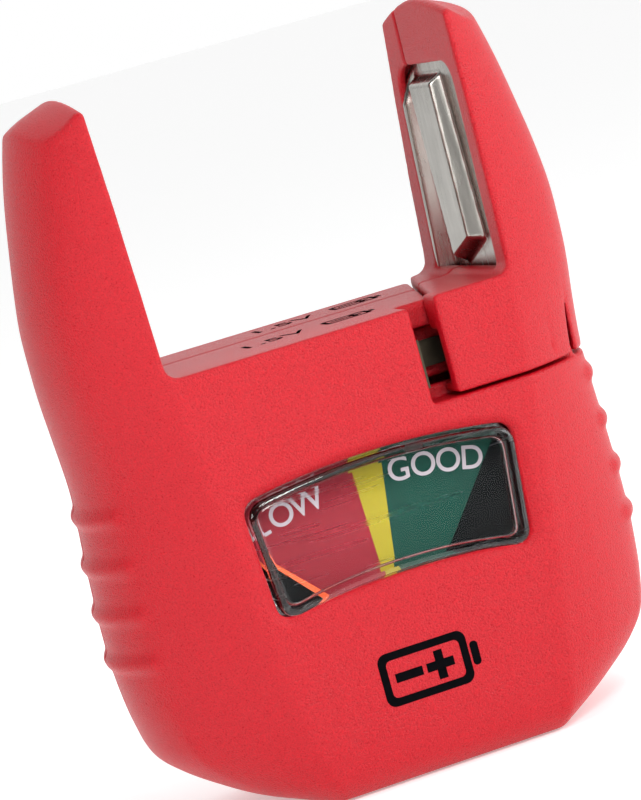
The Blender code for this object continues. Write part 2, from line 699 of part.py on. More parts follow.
def build_return_spring():
    path = helix((-24.8, 5.6, 47.0), (2.3, 5.6, 47.0), 12, 1.9, 2.0)
    finish(wire(path, 0.26), "return_spring", "steel")


# Meter


def turned(obj, angle):
    """Turns a piece of the movement about the pivot axis, in degrees to the left."""
    pivot = Vector((0.0, 0.0, PIVOT_Z)) * MM
    turn = Matrix.Rotation(math.radians(-angle), 4, "Y")
    obj.data.transform(Matrix.Translation(pivot) @ turn @ Matrix.Translation(-pivot))
    return obj


def spiral(y, turns, inner, outer, steps=14):
    points = []
    for i in range(turns * steps + 1):
        t = i / (turns * steps)
        angle = 2.0 * math.pi * turns * t
        radius = inner + (outer - inner) * t
        points.append((radius * math.cos(angle), y, PIVOT_Z + radius * math.sin(angle)))
    return points


def hoop(half_width, front_y, rear_y, thick, depth):
    """A rectangular band round the magnet, standing upright through the pivot axis."""
    outer = box((-depth, front_y, PIVOT_Z - half_width), (depth, rear_y, PIVOT_Z + half_width))
    inner = box(
        (-depth - 1.0, front_y + thick, PIVOT_Z - half_width + thick),
        (depth + 1.0, rear_y - thick, PIVOT_Z + half_width - thick),
    )
    return cut(outer, inner)


def plate_outline(half_width, low_z, top_z):
    """A plate with clipped upper corners as (x, z) points."""
    right = [(half_width, low_z), (half_width, 37.6), (12.0, top_z)]
    return [(-x, z) for x, z in right] + right[::-1]


def build_meter():
    centre = (0.0, PIVOT_Z)
    lens = prism(window_outline(-0.3), "Y", FRONT_Y - 0.4, -12.9)
    join(lens, prism(window_outline(1.2), "Y", FRONT_Y + WALL + 0.3, -12.2))
    cut(lens, prism(window_outline(-1.3), "Y", FRONT_Y + 1.2, -11.0))
    finish(lens, "meter_lens", "clear_plastic")
    plate = prism(plate_outline(18.9, 19.6, 39.9), "Y", DIAL_Y, DIAL_Y + 0.5)
    cut(plate, cylinder("Y", centre, 8.4, DIAL_Y - 1.0, DIAL_Y + 1.0, 32))
    for x in (-17.6, 17.6):
        cut(plate, cylinder("Y", (x, 20.9), 0.75, DIAL_Y - 1.0, DIAL_Y + 1.0, 10))
    finish(plate, "dial_plate", "dial")
    frame = prism(plate_outline(21.8, 18.0, 40.0), "Y", DIAL_Y + 0.8, DIAL_Y + 2.2)
    join(frame, box((-13.0, DIAL_Y + 0.8, PIVOT_Z + 1.1), (13.0, -2.0, 21.6)))
    cut(frame, cylinder("Y", centre, 9.7, -12.0, 2.0, 32))
    for x in (-17.6, 17.6):
        cut(frame, cylinder("Y", (x, 20.9), 0.75, DIAL_Y, DIAL_Y + 4.0, 10))
    finish(frame, "meter_frame", "black_plastic")
    for name, x in (("left", -17.6), ("right", 17.6)):
        pin = cylinder("Y", (x, 20.9), 1.3, DIAL_Y - 0.9, DIAL_Y - 0.3, 12)
        join(pin, cylinder("Y", (x, 20.9), 0.55, DIAL_Y - 0.5, DIAL_Y + 2.0, 8))
        finish(pin, "dial_screw_" + name, "steel")
    yoke = cylinder("Y", centre, 9.3, -7.6, -0.4, 36)
    finish(cut(yoke, cylinder("Y", centre, 7.6, -9.0, 1.0, 32)), "meter_yoke", "steel")
    magnet = cylinder("Y", centre, 4.9, -7.4, -0.6, 28)
    finish(cut(magnet, cylinder("Y", centre, 1.3, -9.0, 1.0, 14)), "core_magnet", "magnet")
    build_bridges(centre)
    build_movement(centre)


def build_bridges(centre):
    """The two bars that carry the pivot screws. The rear one also holds the magnet by two legs."""
    rear = box((-11.0, 3.2, PIVOT_Z - 2.4), (11.0, 4.4, PIVOT_Z + 2.4))
    for side in (-1, 1):
        leg = box((5.25, -6.6, PIVOT_Z - 1.6), (6.9, 3.6, PIVOT_Z + 1.6))
        if side < 0:
            leg.data.transform(Matrix.Diagonal((-1.0, 1.0, 1.0, 1.0)))
            leg.data.flip_normals()
        join(rear, leg)
    cut(rear, cylinder("Y", centre, 1.1, 2.0, 6.0, 14))
    finish(rear, "rear_bridge", "brass")
    front = box((-11.5, -12.9, PIVOT_Z - 1.9), (11.5, -11.9, PIVOT_Z + 1.9))
    for x in (-10.4, 10.4):
        join(front, box((x - 1.0, -12.9, PIVOT_Z - 1.9), (x + 1.0, -8.0, PIVOT_Z + 0.7)))
    cut(front, cylinder("Y", centre, 1.1, -14.0, -11.0, 14))
    finish(front, "front_bridge", "brass")
    for name, y0, y1 in (("front", -13.2, -11.7), ("rear", 2.9, 4.9)):
        pin = cylinder("Y", centre, 0.9, y0, y1, 12)
        slot_y = y0 if name == "front" else y1
        cut(pin, box((-1.2, slot_y - 0.35, PIVOT_Z - 0.2), (1.2, slot_y + 0.35, PIVOT_Z + 0.2)))
        finish(pin, name + "_pivot_screw", "brass")


def build_movement(centre):
    """The parts that turn together about the pivot axis, drawn at the needle's rest angle."""
    spindle = cylinder("Y", centre, 0.45, -11.3, 2.5, 10)
    finish(turned(spindle, REST_ANGLE), "meter_spindle", "steel")
    former = hoop(6.2, -8.6, 0.5, 0.35, 1.5)
    cut(former, cylinder("Y", centre, 0.6, -12.0, 4.0, 12))
    finish(turned(former, REST_ANGLE), "coil_former", "steel")
    coil = hoop(7.15, -9.3, 1.2, 0.6, 1.3)
    cut(coil, cylinder("Y", centre, 0.6, -12.0, 4.0, 12))
    finish(turned(coil, REST_ANGLE), "moving_coil", "copper")
    hub = cylinder("Y", centre, 1.25, NEEDLE_Y + 0.25, NEEDLE_Y + 0.75, 16)
    hub_y = (NEEDLE_Y + 0.3, NEEDLE_Y + 0.65)
    join(hub, box((-3.4, hub_y[0], PIVOT_Z - 0.3), (3.4, hub_y[1], PIVOT_Z + 0.3)))
    join(hub, box((-0.3, hub_y[0], PIVOT_Z - 4.2), (0.3, hub_y[1], PIVOT_Z + 0.3)))
    cut(hub, cylinder("Y", centre, 0.6, -12.0, -8.0, 12))
    finish(turned(hub, REST_ANGLE), "pointer_hub", "brass")
    root_z, tip_z = PIVOT_Z + 1.0, PIVOT_Z + 24.3
    outline = [(-0.55, root_z), (0.55, root_z), (0.16, tip_z), (-0.16, tip_z)]
    needle = prism(outline, "Y", NEEDLE_Y - 0.15, NEEDLE_Y + 0.1)
    join(needle, cylinder("Y", centre, 1.25, NEEDLE_Y - 0.15, NEEDLE_Y + 0.1, 16))
    cut(needle, cylinder("Y", centre, 0.6, -12.0, -8.0, 12))
    finish(turned(needle, REST_ANGLE), "pointer", "needle")
    for name, y in (("front", -9.75), ("rear", 2.15)):
        hairspring = wire(spiral(y, 3, 0.9, 3.4), 0.11)
        finish(turned(hairspring, REST_ANGLE), name + "_hairspring", "brass")


# Circuit


BOARD_FRONT_Y = 7.6
RESISTOR_Z = 28.0
# name, x, radius, half length
RESISTORS = (("aa", -9.0, 1.7, 5.0), ("nine_volt", 0.0, 1.4, 4.2), ("series", 9.0, 1.1, 3.2))

RED_LEADS = {
    "lead_fixed_contact": [
        (-25.9, -1.0, 47.8),
        (-26.8, 0.0, 44.0),
        (-26.0, 2.6, 42.2),
        (-18.0, 6.4, 40.2),
        (-13.5, 7.0, 38.0),
        (-13.0, 8.3, 37.4),
    ],
    "lead_button_contact": [
        (8.0, -12.2, 46.4),
        (6.0, -12.2, 46.4),
        (5.8, -12.0, 44.8),
        (5.6, -10.5, 41.8),
        (5.8, -3.0, 41.6),
        (6.8, 4.6, 40.2),
        (7.0, 8.3, 37.5),
    ],
    "lead_meter_positive": [
        (12.0, -12.2, 13.0),
        (13.6, -10.4, 12.6),
        (14.2, -4.0, 12.4),
        (14.4, 2.0, 14.5),
        (13.0, 7.0, 16.4),
        (12.0, 8.3, 18.5),
    ],
    "lead_nine_volt": [(NINE_VOLT_X[0], 12.2, 38.6), (-6.4, 11.4, 35.0), (-6.0, 9.7, 33.0)],
}
BLACK_LEADS = {
    "lead_bus": [
        (-22.4, -11.1, 43.6),
        (-22.8, -9.6, 42.3),
        (-24.4, -5.0, 41.4),
        (-23.4, 2.4, 39.2),
        (-16.6, 9.9, 38.0),
        (-14.2, 9.9, 36.0),
    ],
    "lead_meter_negative": [
        (-11.6, 3.8, 13.3),
        (-13.0, 4.6, 14.0),
        (-13.4, 6.4, 16.0),
        (-12.0, 8.3, 18.5),
    ],
}


def build_circuit():
    board = box((-15.0, BOARD_FRONT_Y, 19.0), (15.0, BOARD_FRONT_Y + 1.5, 37.0))
    finish(board, "resistor_board", "board")
    for name, x, radius, half in RESISTORS:
        y = BOARD_FRONT_Y - radius - 0.5
        made = cylinder("Z", (x, y), radius, RESISTOR_Z - half, RESISTOR_Z + half, 14)
        for end in (-1, 1):
            root_z = RESISTOR_Z + end * (half - 0.4)
            bend_z = RESISTOR_Z + end * (half + 1.4)
            legs = [(x, y, root_z), (x, y, bend_z), (x, BOARD_FRONT_Y - 0.3, bend_z)]
            join(made, wire(legs, 0.3))
        finish(made, name + "_resistor", "ceramic")
    for colour, leads in (("red_wire", RED_LEADS), ("black_wire", BLACK_LEADS)):
        for name, path in leads.items():
            finish(wire(path, 0.45), name, colour)
    finish(box((-14.7, REAR_Y - 0.3, 16.3), (14.7, REAR_Y - 0.05, 29.7)), "rear_label", "paper")


def carry(name, place, pieces):
    """Hangs pieces on an empty that stands on the axis of their joint."""
    empty = bpy.data.objects.new(name, None)
    empty.location = Vector(place) * MM
    empty.empty_display_size = 0.01
    bpy.data.collections["battery_tester"].objects.link(empty)
    bpy.context.view_layer.update()
    for piece in pieces:
        held = bpy.data.objects[piece]
        held.parent = empty
        held.matrix_parent_inverse = empty.matrix_world.inverted()


def build():
    clear_scene()
    collection = bpy.data.collections.new("battery_tester")
    bpy.context.scene.collection.children.link(collection)
    build_case()
    build_slide_arm()
    build_screws()
    build_contacts()
    build_return_spring()
    build_meter()
    build_circuit()
    carry("sliding_arm_axis", (0.0, -3.8, 47.0), SLIDING_PIECES)
    carry("pointer_axis", (0.0, 0.0, PIVOT_Z), TURNING_PIECES)


build()
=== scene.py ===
"""Looks of the battery tester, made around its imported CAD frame.

The moulded shells are distance fields on a voxel grid: boxes, cylinders and lofted sections are
combined, blurred a little for their fillets and turned into meshes. Prints, the lens and the contact
strips are meshes of their own. Lengths are in millimetres until they become a mesh in metres."""

import json
import math

import bmesh
import bpy
import numpy as np
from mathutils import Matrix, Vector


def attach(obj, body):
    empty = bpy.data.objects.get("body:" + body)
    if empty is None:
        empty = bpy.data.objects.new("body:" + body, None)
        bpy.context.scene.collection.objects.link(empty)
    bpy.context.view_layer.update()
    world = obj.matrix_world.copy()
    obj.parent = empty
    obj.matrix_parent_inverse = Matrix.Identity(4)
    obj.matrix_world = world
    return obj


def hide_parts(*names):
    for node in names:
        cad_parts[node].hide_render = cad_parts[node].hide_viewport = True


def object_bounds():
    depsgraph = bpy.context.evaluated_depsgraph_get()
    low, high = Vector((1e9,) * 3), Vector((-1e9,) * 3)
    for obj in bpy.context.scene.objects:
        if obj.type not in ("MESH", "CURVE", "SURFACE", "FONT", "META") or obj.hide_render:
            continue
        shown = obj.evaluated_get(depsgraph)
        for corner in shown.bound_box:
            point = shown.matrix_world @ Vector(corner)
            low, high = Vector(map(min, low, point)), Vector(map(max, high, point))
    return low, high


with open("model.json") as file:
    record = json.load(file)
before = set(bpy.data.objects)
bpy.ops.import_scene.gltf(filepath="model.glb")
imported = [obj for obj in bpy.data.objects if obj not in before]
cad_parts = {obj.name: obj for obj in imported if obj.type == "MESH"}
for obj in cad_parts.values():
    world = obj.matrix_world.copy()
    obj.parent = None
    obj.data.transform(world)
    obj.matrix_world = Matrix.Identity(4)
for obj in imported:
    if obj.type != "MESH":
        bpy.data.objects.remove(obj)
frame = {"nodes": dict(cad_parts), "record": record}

import openvdb
from mathutils import Matrix, Vector

cad_low, cad_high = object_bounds()

MM = 0.001
VOXEL = 0.28

# Planes outside the tester, where a shape that cuts right through it ends
AHEAD_Y = -30.0
BEHIND_Y = 30.0
BESIDE_X = 60.0
ABOVE_Z = 120.0
BEYOND = (BESIDE_X, BEHIND_Y, ABOVE_Z)

# Overall form, as in the CAD
FRONT_Y = -15.3
REAR_Y = 15.7
SEAM_Y = 4.3
SEAM_GAP = 0.24
WALL = 1.9
DECK_Z = 53.4
ARM_INNER_X = 21.5
ARM_LEAN = 0.9
APEX_Z = 87.6
APEX_Y = -1.6
GAP = 0.35

# height, crease x, ridge x, ridge y, seam x, front y, rear y, rear crease x
LEVELS = (
    (0.0, 14.2, 15.5, -8.0, 15.9, -12.6, 13.0, 12.0),
    (0.9, 14.7, 17.8, -8.6, 18.2, -14.1, 14.5, 12.8),
    (2.6, 15.3, 21.1, -8.8, 21.8, -15.0, 15.4, 14.0),
    (6.0, 16.1, 25.7, -8.8, 27.2, -15.3, 15.7, 16.0),
    (8.6, 16.6, 28.1, -8.8, 30.4, -15.3, 15.7, 17.5),
    (10.4, 16.9, 29.0, -8.8, 31.3, -15.3, 15.7, 18.5),
    (15.0, 17.6, 30.0, -8.6, 32.3, -15.3, 15.7, 19.5),
    (20.0, 18.4, 30.4, -8.6, 32.8, -15.3, 15.7, 20.0),
    (26.0, 19.2, 30.4, -8.7, 32.8, -15.3, 15.7, 20.5),
    (34.0, 20.0, 30.1, -8.9, 32.4, -15.3, 15.7, 21.0),
    (41.8, 20.7, 29.7, -9.2, 31.8, -15.3, 15.7, 21.0),
    (48.0, 21.2, 30.0, -9.8, 32.2, -15.3, 15.7, 21.4),
    (54.0, 21.5, 30.6, -10.4, 32.6, -15.3, 15.5, 21.5),
    (62.0, 21.6, 30.6, -11.0, 32.6, -15.2, 14.4, 21.6),
    (68.0, 21.8, 29.8, -11.4, 31.8, -15.1, 13.5, 21.8),
    (73.0, 21.9, 28.8, -11.6, 31.0, -15.0, 12.5, 21.9),
    (78.0, 22.0, 27.9, -11.6, 30.1, -14.8, 11.5, 22.0),
    (83.0, 22.1, 26.8, -11.4, 28.8, -14.5, 10.5, 22.1),
    (88.0, 22.2, 25.4, -11.0, 27.2, -14.2, 9.5, 22.2),
)

# Sliding arm and the shoulder that it wraps round
NOTCH_X = 8.4
BLOCK_X = 11.7
REAR_NOTCH_X = 18.6
REAR_BLOCK_X = 19.3
NOTCH_Z = 41.8
NOTCH_Y = -10.3
REAR_NOTCH_Y = 10.3
SHOULDER_X = 28.4
SHOULDER_Z = 52.0
FOOT_Z = 54.0
TONGUE = ((-22.0, -7.6, 44.0), (29.7, 0.0, 50.0))
SLOT_Z = (43.4, 50.3)
SPRING_POST = (4.0, 47.0)  # on the back of the tongue

# Contact slots and strips
SLOT_FRONT_Y = -11.2
SLOT_REAR_LOW_Y = 10.6
SLOT_REAR_HIGH_Y = 8.2
SLOT_TOP_Z = 79.6
ARCH_FOOT_Z = 75.5
STRIP_X = ARM_INNER_X + 1.9

# Meter
PIVOT_Z = 13.8
DIAL_Y = -9.4
WINDOW = {"top_x": 17.1, "low_x": 16.1, "top_z": 37.1, "top_rise": 1.6, "low_z": 22.6, "low_rise": 1.4}
CORNER = 2.2

RIB_HEIGHTS = (39.0, 33.1, 27.3, 21.5)
CASE_SCREWS = ((-27.7, 66.0), (-24.7, 35.6), (24.7, 35.6), (-19.0, 10.0), (19.0, 10.0))
SLIDE_SCREWS = ((27.2, 74.0), (27.8, 59.0))
HEAD_HEIGHT = 1.3

# Radii of what a screw goes through, and the y that the pilot hole in the front moulding reaches
CASE_BORES = {"head": 2.3, "counterbore": 2.7, "boss": 3.2, "hole": 1.45, "post": 2.4, "pilot": 1.25}
SLIDE_BORES = {"head": 1.8, "counterbore": 2.2, "boss": 2.6, "hole": 1.25, "post": 2.0, "pilot": 1.05}
CASE_PILOT_Y = -3.0
SLIDE_PILOT_Y = -4.0
BOSS_INSET = 0.95  # how far below the outer skin the posts and bosses end

NINE_VOLT_X = (-6.35, 6.35)
NINE_VOLT_Z = 42.0
NINE_VOLT_RADIUS = 3.6
LABEL = ((-15.0, 16.0), (15.0, 30.0))

# The grid that the moulded parts are worked out on
MARGIN = 1.6
GRID_LOW = np.array(cad_low) / MM - MARGIN
GRID_HIGH = np.array(cad_high) / MM + MARGIN

# Width of the blur that rounds the outer form's edges
CRISP = 0.4
SOFT = 1.7


def grid_line(axis):
    return np.arange(GRID_LOW[axis], GRID_HIGH[axis], VOXEL, dtype=np.float32)


X = grid_line(0)[:, None, None]
Y = grid_line(1)[None, :, None]
Z = grid_line(2)[None, None, :]


# Fields: each is negative inside its shape, in millimetres


def both(*fields):
    """The space that lies in every one of the shapes."""
    found = fields[0]
    for field in fields[1:]:
        found = np.maximum(found, field)
    return found


def either(*fields):
    """The space that lies in any of the shapes."""
    found = fields[0]
    for field in fields[1:]:
        found = np.minimum(found, field)
    return found


def without(field, *cutters):
    for cutter in cutters:
        field = np.maximum(field, -cutter)
    return field


def melted(a, b, width):
    """Two shapes joined with a fillet about as wide as stated."""
    share = np.clip(0.5 + 0.5 * (b - a) / width, 0.0, 1.0)
    return b + (a - b) * share - width * share * (1.0 - share)


def box_field(low, high):
    sides = [both(low[i] - line, line - high[i]) for i, line in enumerate((X, Y, Z))]
    return both(*sides)


def cylinder_field(x, z, radius, start, end):
    """A cylinder along Y."""
    return both(np.hypot(X - x, Z - z) - radius, start - Y, Y - end)


def blurred(field, sigma):
    """The field averaged over its neighbours, which rounds every edge and corner."""
    reach = math.ceil(2.5 * sigma / VOXEL)
    weights = [math.exp(-0.5 * (i * VOXEL / sigma) ** 2) for i in range(-reach, reach + 1)]
    total = sum(weights)
    for axis in range(3):
        room = [(0, 0), (0, 0), (0, 0)]
        room[axis] = (reach, reach)
        padded = np.pad(field, room, mode="edge")
        found = np.zeros_like(field)
        for i, weight in enumerate(weights):
            shifted = [slice(None), slice(None), slice(None)]
            shifted[axis] = slice(i, i + field.shape[axis])
            found += padded[tuple(shifted)] * np.float32(weight / total)
        field = found
    return field


def level_column(number):
    """One column of LEVELS at every height of the grid, with its corners rounded."""
    heights = [row[0] for row in LEVELS]
    line = np.interp(Z[0, 0], heights, [row[number] for row in LEVELS])
    kernel = np.hanning(11)[1:-1]
    kernel /= kernel.sum()
    padded = np.pad(line, 4, mode="edge")
    return np.convolve(padded, kernel, mode="valid").astype(np.float32)[None, None, :]


def bowed(start, end, bow, steps):
    """Points from start to end, the first left out, that bow outwards by a part of the length."""
    dx, dy = end[0] - start[0], end[1] - start[1]
    points = []
    for i in range(1, steps + 1):
        t = i / steps
        rise = bow * 4.0 * t * (1.0 - t)
        points.append((start[0] + dx * t + dy * rise, start[1] + dy * t - dx * rise))
    return points


def outer_field():
    """The outer form: at each height, the space inside all the lines of its outline."""
    crease_x, ridge_x, ridge_y, seam_x, front_y, rear_y, back_x = [level_column(i) for i in range(1, 8)]
    side = np.abs(X)
    crease, ridge, seam = (crease_x, front_y), (ridge_x, ridge_y), (seam_x, SEAM_Y)
    shoulder = (seam_x - 2.0, SEAM_Y + 0.58 * (rear_y - SEAM_Y))
    outline = [crease]
    outline += bowed(crease, ridge, 0.07, 5)
    outline += bowed(ridge, seam, 0.09, 8)
    outline += bowed(seam, shoulder, 0.05, 3)
    outline += bowed(shoulder, (back_x, rear_y), 0.08, 5)
    field = both(front_y - Y, Y - rear_y, -Z) + side * 0.0
    for (x0, y0), (x1, y1) in zip(outline, outline[1:]):
        dx, dy = x1 - x0, y1 - y0
        length = np.hypot(dx, dy)
        field = np.maximum(field, (side - x0) * (dy / length) - (Y - y0) * (dx / length))
    field = field.astype(np.float32)
    # Soft at the sides and on the arms, crisp on the front panel's creases and near the foot
    soft = np.clip(np.maximum((side - 23.5) / 3.5, (Z - 54.0) / 8.0), 0.0, 1.0)
    soft = soft * np.clip((Z - 11.0) / 6.0, 0.0, 1.0)
    crisp_field, soft_field = blurred(field, CRISP), blurred(field, SOFT)
    return (crisp_field + (soft_field - crisp_field) * soft).astype(np.float32)


def rib_field(outer, z):
    """A grip rib: a rounded bar laid on both sides of the case, across the parting plane."""
    middle_y, half_length = 1.1, 9.3
    beyond = np.maximum(np.abs(Y - middle_y) - half_length, 0.0)
    bar = np.sqrt((outer + 0.75) ** 2 + (Z - z) ** 2 + beyond**2) - 1.3
    return both(bar, 20.0 - np.abs(X))


def arm_top_field(drop=0.0):
    """Everything above the sloping tips of the arms."""
    side = np.abs(X)
    outwards = math.tan(math.radians(20.0)) * (side - 22.7) + 0.06 * np.maximum(side - 26.0, 0.0) ** 2
    edge = 0.5 * np.maximum(0.0, 23.2 - side)
    front_drop = 2.2 + 0.7 * np.maximum(0.0, side - 23.2)
    forward = np.maximum(APEX_Y - Y, 0.0) / 13.0
    backward = np.maximum(Y - APEX_Y, 0.0) / 11.5
    top = APEX_Z - drop - outwards - edge - front_drop * forward**1.6 - 2.2 * backward**1.7
    return (top - Z) * 0.9


def cradle_field(floor_z, radius=1.5):
    """The space between the arms, rounded where its sides meet the floor."""
    half_width = ARM_INNER_X + ARM_LEAN * (Z - floor_z) / (APEX_Z - DECK_Z)
    across = np.abs(X) - half_width + radius
    down = floor_z - Z + radius
    corner = np.hypot(np.maximum(across, 0.0), np.maximum(down, 0.0))
    return corner + np.minimum(np.maximum(across, down), 0.0) - radius


def right_of_diagonal(shift, low_z, high_z):
    """The space to the right of the slanted line where the sliding foot begins."""
    ends = [BLOCK_X + shift, REAR_BLOCK_X + shift]
    line = np.interp(Y[0, :, 0], [FRONT_Y, REAR_Y], ends).astype(np.float32)[None, :, None]
    return both(line - X, low_z - Z, Z - high_z)


def shoulder_field(grow):
    """The space that the sliding arm takes from the right side of the case."""
    low = NOTCH_Z - grow
    return either(
        box_field((NOTCH_X - grow, AHEAD_Y, low), (BESIDE_X, NOTCH_Y + grow, ABOVE_Z)),
        box_field((REAR_NOTCH_X - grow, REAR_NOTCH_Y - grow, low), BEYOND),
        box_field((SHOULDER_X - grow, AHEAD_Y, low), BEYOND),
        right_of_diagonal(-GAP - grow, SHOULDER_Z - grow, ABOVE_Z),
    )


def contact_slot_field(side, floor_z):
    """The arched slot in an arm's inner face."""
    share = np.clip((Z - DECK_Z) / (SLOT_TOP_Z - DECK_Z), 0.0, 1.0)
    rear_y = SLOT_REAR_LOW_Y + (SLOT_REAR_HIGH_Y - SLOT_REAR_LOW_Y) * share
    middle, half = 0.5 * (rear_y + SLOT_FRONT_Y), 0.5 * (rear_y - SLOT_FRONT_Y)
    radius = 3.2
    across = np.abs(Y - middle) - half + radius
    up = Z - SLOT_TOP_Z + radius
    arch = np.hypot(np.maximum(across, 0.0), np.maximum(up, 0.0))
    arch = arch + np.minimum(np.maximum(across, up), 0.0) - radius
    depth = both(ARM_INNER_X - 1.0 - side * X, side * X - ARM_INNER_X - 3.0)
    return both(arch, floor_z - Z, depth)


def window_field(grow):
    """The arched meter window, through the front wall."""
    w = WINDOW
    share = (Z - w["low_z"]) / (w["top_z"] - w["low_z"])
    half = w["low_x"] + (w["top_x"] - w["low_x"]) * share + grow
    bulge = 1.0 - (X / w["top_x"]) ** 2
    top = w["top_z"] + w["top_rise"] * bulge + grow
    low = w["low_z"] + w["low_rise"] * bulge - grow
    radius = 1.7 + grow
    across = np.abs(X) - half + radius
    upright = np.maximum(Z - top, low - Z) + radius
    corner = np.hypot(np.maximum(across, 0.0), np.maximum(upright, 0.0))
    return corner + np.minimum(np.maximum(across, upright), 0.0) - radius


def back_wall_at(x, z):
    """Y of the outer skin at a place on the back, out to the parting plane."""
    heights = [row[0] for row in LEVELS]
    seam_x, rear_y, back_x = (np.interp(z, heights, [row[i] for row in LEVELS]) for i in (4, 6, 7))
    side_x, side_y = seam_x - 2.0, SEAM_Y + 0.58 * (rear_y - SEAM_Y)
    return float(np.interp(abs(x), (back_x, side_x, seam_x), (rear_y, side_y, SEAM_Y)))


def screw_seat(x, z, head_radius):
    """Y of a counterbore's floor, as in the CAD."""
    return back_wall_at(abs(x) + head_radius, z) - HEAD_HEIGHT - 0.5


def with_post(front, outer, place, radii, pilot_y):
    """A front moulding with the post that a screw's thread bites into."""
    x, z = place
    post = both(cylinder_field(x, z, radii["post"], FRONT_Y + 1.5, SEAM_Y - 0.4), outer + BOSS_INSET)
    return without(either(front, post), cylinder_field(x, z, radii["pilot"], pilot_y, SEAM_Y + 1.0))


def with_boss(rear, outer, place, radii):
    """A rear moulding with the boss and the counterbore that a screw's head stands in."""
    x, z = place
    boss = both(cylinder_field(x, z, radii["boss"], SEAM_Y + 0.4, REAR_Y), outer + BOSS_INSET)
    hole = cylinder_field(x, z, radii["hole"], SEAM_Y - 1.0, BEHIND_Y)
    counterbore = cylinder_field(x, z, radii["counterbore"], screw_seat(x, z, radii["head"]), BEHIND_Y)
    return without(either(rear, boss), hole, counterbore)


# From fields to meshes


def moulded(name, field, body, material, node, slot, fillet=0.24):
    """The mesh of a field, riding on a body in place of its CAD node."""
    field = blurred(field.astype(np.float32), fillet)
    grid = openvdb.FloatGrid(3.0)
    grid.copyFromArray(np.clip(field / VOXEL, -3.0, 3.0), tolerance=0.0)
    points, quads = grid.convertToQuads(isovalue=0.0)
    places = (points * VOXEL + GRID_LOW) * MM
    mesh = bpy.data.meshes.new(name)
    mesh.from_pydata(places.tolist(), [], quads.tolist())
    work = bmesh.new()
    work.from_mesh(mesh)
    if work.calc_volume(signed=True) < 0.0:
        bmesh.ops.reverse_faces(work, faces=work.faces)
    work.to_mesh(mesh)
    work.free()
    return placed(name, mesh, body, material, slot, node)


def placed(name, mesh, body, material, slot, *nodes):
    """An object for a finished mesh, riding on a body in place of the CAD nodes named."""
    made = bpy.data.objects.new(name, mesh)
    bpy.context.scene.collection.objects.link(made)
    mesh.materials.clear()
    mesh.materials.append(material)
    mesh.shade_smooth()
    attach(made, body)
    if nodes:
        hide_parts(*nodes)
    return made


def build_shells(red):
    outer = outer_field()
    below_tip = -arm_top_field()
    form = outer
    for z in RIB_HEIGHTS:
        form = melted(form, rib_field(outer, z), 0.3)
    form = without(form, cradle_field(DECK_Z), -below_tip, shoulder_field(0.0))
    hollow = both(outer + WALL, 2.0 - Z, -arm_top_field(WALL))
    hollow = without(hollow, box_field((0.2 - STRIP_X, AHEAD_Y, DECK_Z - WALL), BEYOND))
    hollow = without(hollow, shoulder_field(1.6))
    tongue_way = box_field(
        (25.4, TONGUE[0][1] - 0.35, SLOT_Z[0]), (29.4, TONGUE[1][1] + 0.35, SLOT_Z[1])
    )
    front_slot = box_field((9.4, NOTCH_Y - 1.0, SLOT_Z[0]), (29.6, TONGUE[0][1] - 0.1, SLOT_Z[1]))
    form = without(form, hollow, tongue_way, front_slot, contact_slot_field(-1, DECK_Z + 0.5))

    front = both(form, Y - (SEAM_Y - SEAM_GAP / 2))
    front = without(front, both(window_field(0.0), Y - (FRONT_Y + 4.0)))
    front = without(front, both(window_field(0.7), Y - (FRONT_Y + 0.35)))
    for place in CASE_SCREWS:
        front = with_post(front, outer, place, CASE_BORES, CASE_PILOT_Y)
    moulded("case_front", front, "case", red, "front_shell", "red_plastic")

    rear = both(form, SEAM_Y + SEAM_GAP / 2 - Y)
    for place in CASE_SCREWS:
        rear = with_boss(rear, outer, place, CASE_BORES)
    for x in NINE_VOLT_X:
        rear = without(rear, cylinder_field(x, NINE_VOLT_Z, NINE_VOLT_RADIUS, 10.0, BEHIND_Y))
    (x0, z0), (x1, z1) = LABEL
    rear = without(rear, box_field((x0, REAR_Y - 0.35, z0), (x1, BEHIND_Y, z1)))
    moulded("case_rear", rear, "case", red, "rear_shell", "red_plastic")
    build_slide_arm(outer, below_tip, red)


def build_slide_arm(outer, below_tip, red):
    envelope = either(
        box_field((BLOCK_X, AHEAD_Y, NOTCH_Z + GAP), (BESIDE_X, NOTCH_Y - GAP, FOOT_Z)),
        box_field((REAR_BLOCK_X, REAR_NOTCH_Y + GAP, NOTCH_Z + GAP), (BESIDE_X, BEHIND_Y, FOOT_Z)),
        box_field((SHOULDER_X + GAP, AHEAD_Y, NOTCH_Z + GAP), BEYOND),
        right_of_diagonal(0.0, SHOULDER_Z + GAP, FOOT_Z),
        box_field((ARM_INNER_X - 1.5, AHEAD_Y, SHOULDER_Z + GAP), BEYOND),
    )
    form = without(both(outer, envelope, below_tip), cradle_field(FOOT_Z))
    hollow = both(outer + WALL, STRIP_X - 0.2 - X, SHOULDER_Z - 2.0 - Z, -arm_top_field(WALL))
    pocket = box_field((BLOCK_X - 1.0, -13.1, SLOT_Z[0]), (25.0, NOTCH_Y + 1.0, 49.7))
    form = without(form, hollow, pocket, contact_slot_field(1, FOOT_Z + 0.5))

    front = either(both(form, Y - (SEAM_Y - SEAM_GAP / 2)), box_field(*TONGUE))
    spring_post = cylinder_field(SPRING_POST[0], SPRING_POST[1], 1.3, -1.0, 6.6)
    front = either(front, spring_post)
    for place in SLIDE_SCREWS:
        front = with_post(front, outer, place, SLIDE_BORES, SLIDE_PILOT_Y)
    moulded("arm_front", front, "sliding_arm", red, "slide_arm", "red_plastic")

    rear = both(form, SEAM_Y + SEAM_GAP / 2 - Y)
    for place in SLIDE_SCREWS:
        rear = with_boss(rear, outer, place, SLIDE_BORES)
    moulded("arm_rear", rear, "sliding_arm", red, "slide_arm_cover", "red_plastic")


# Materials


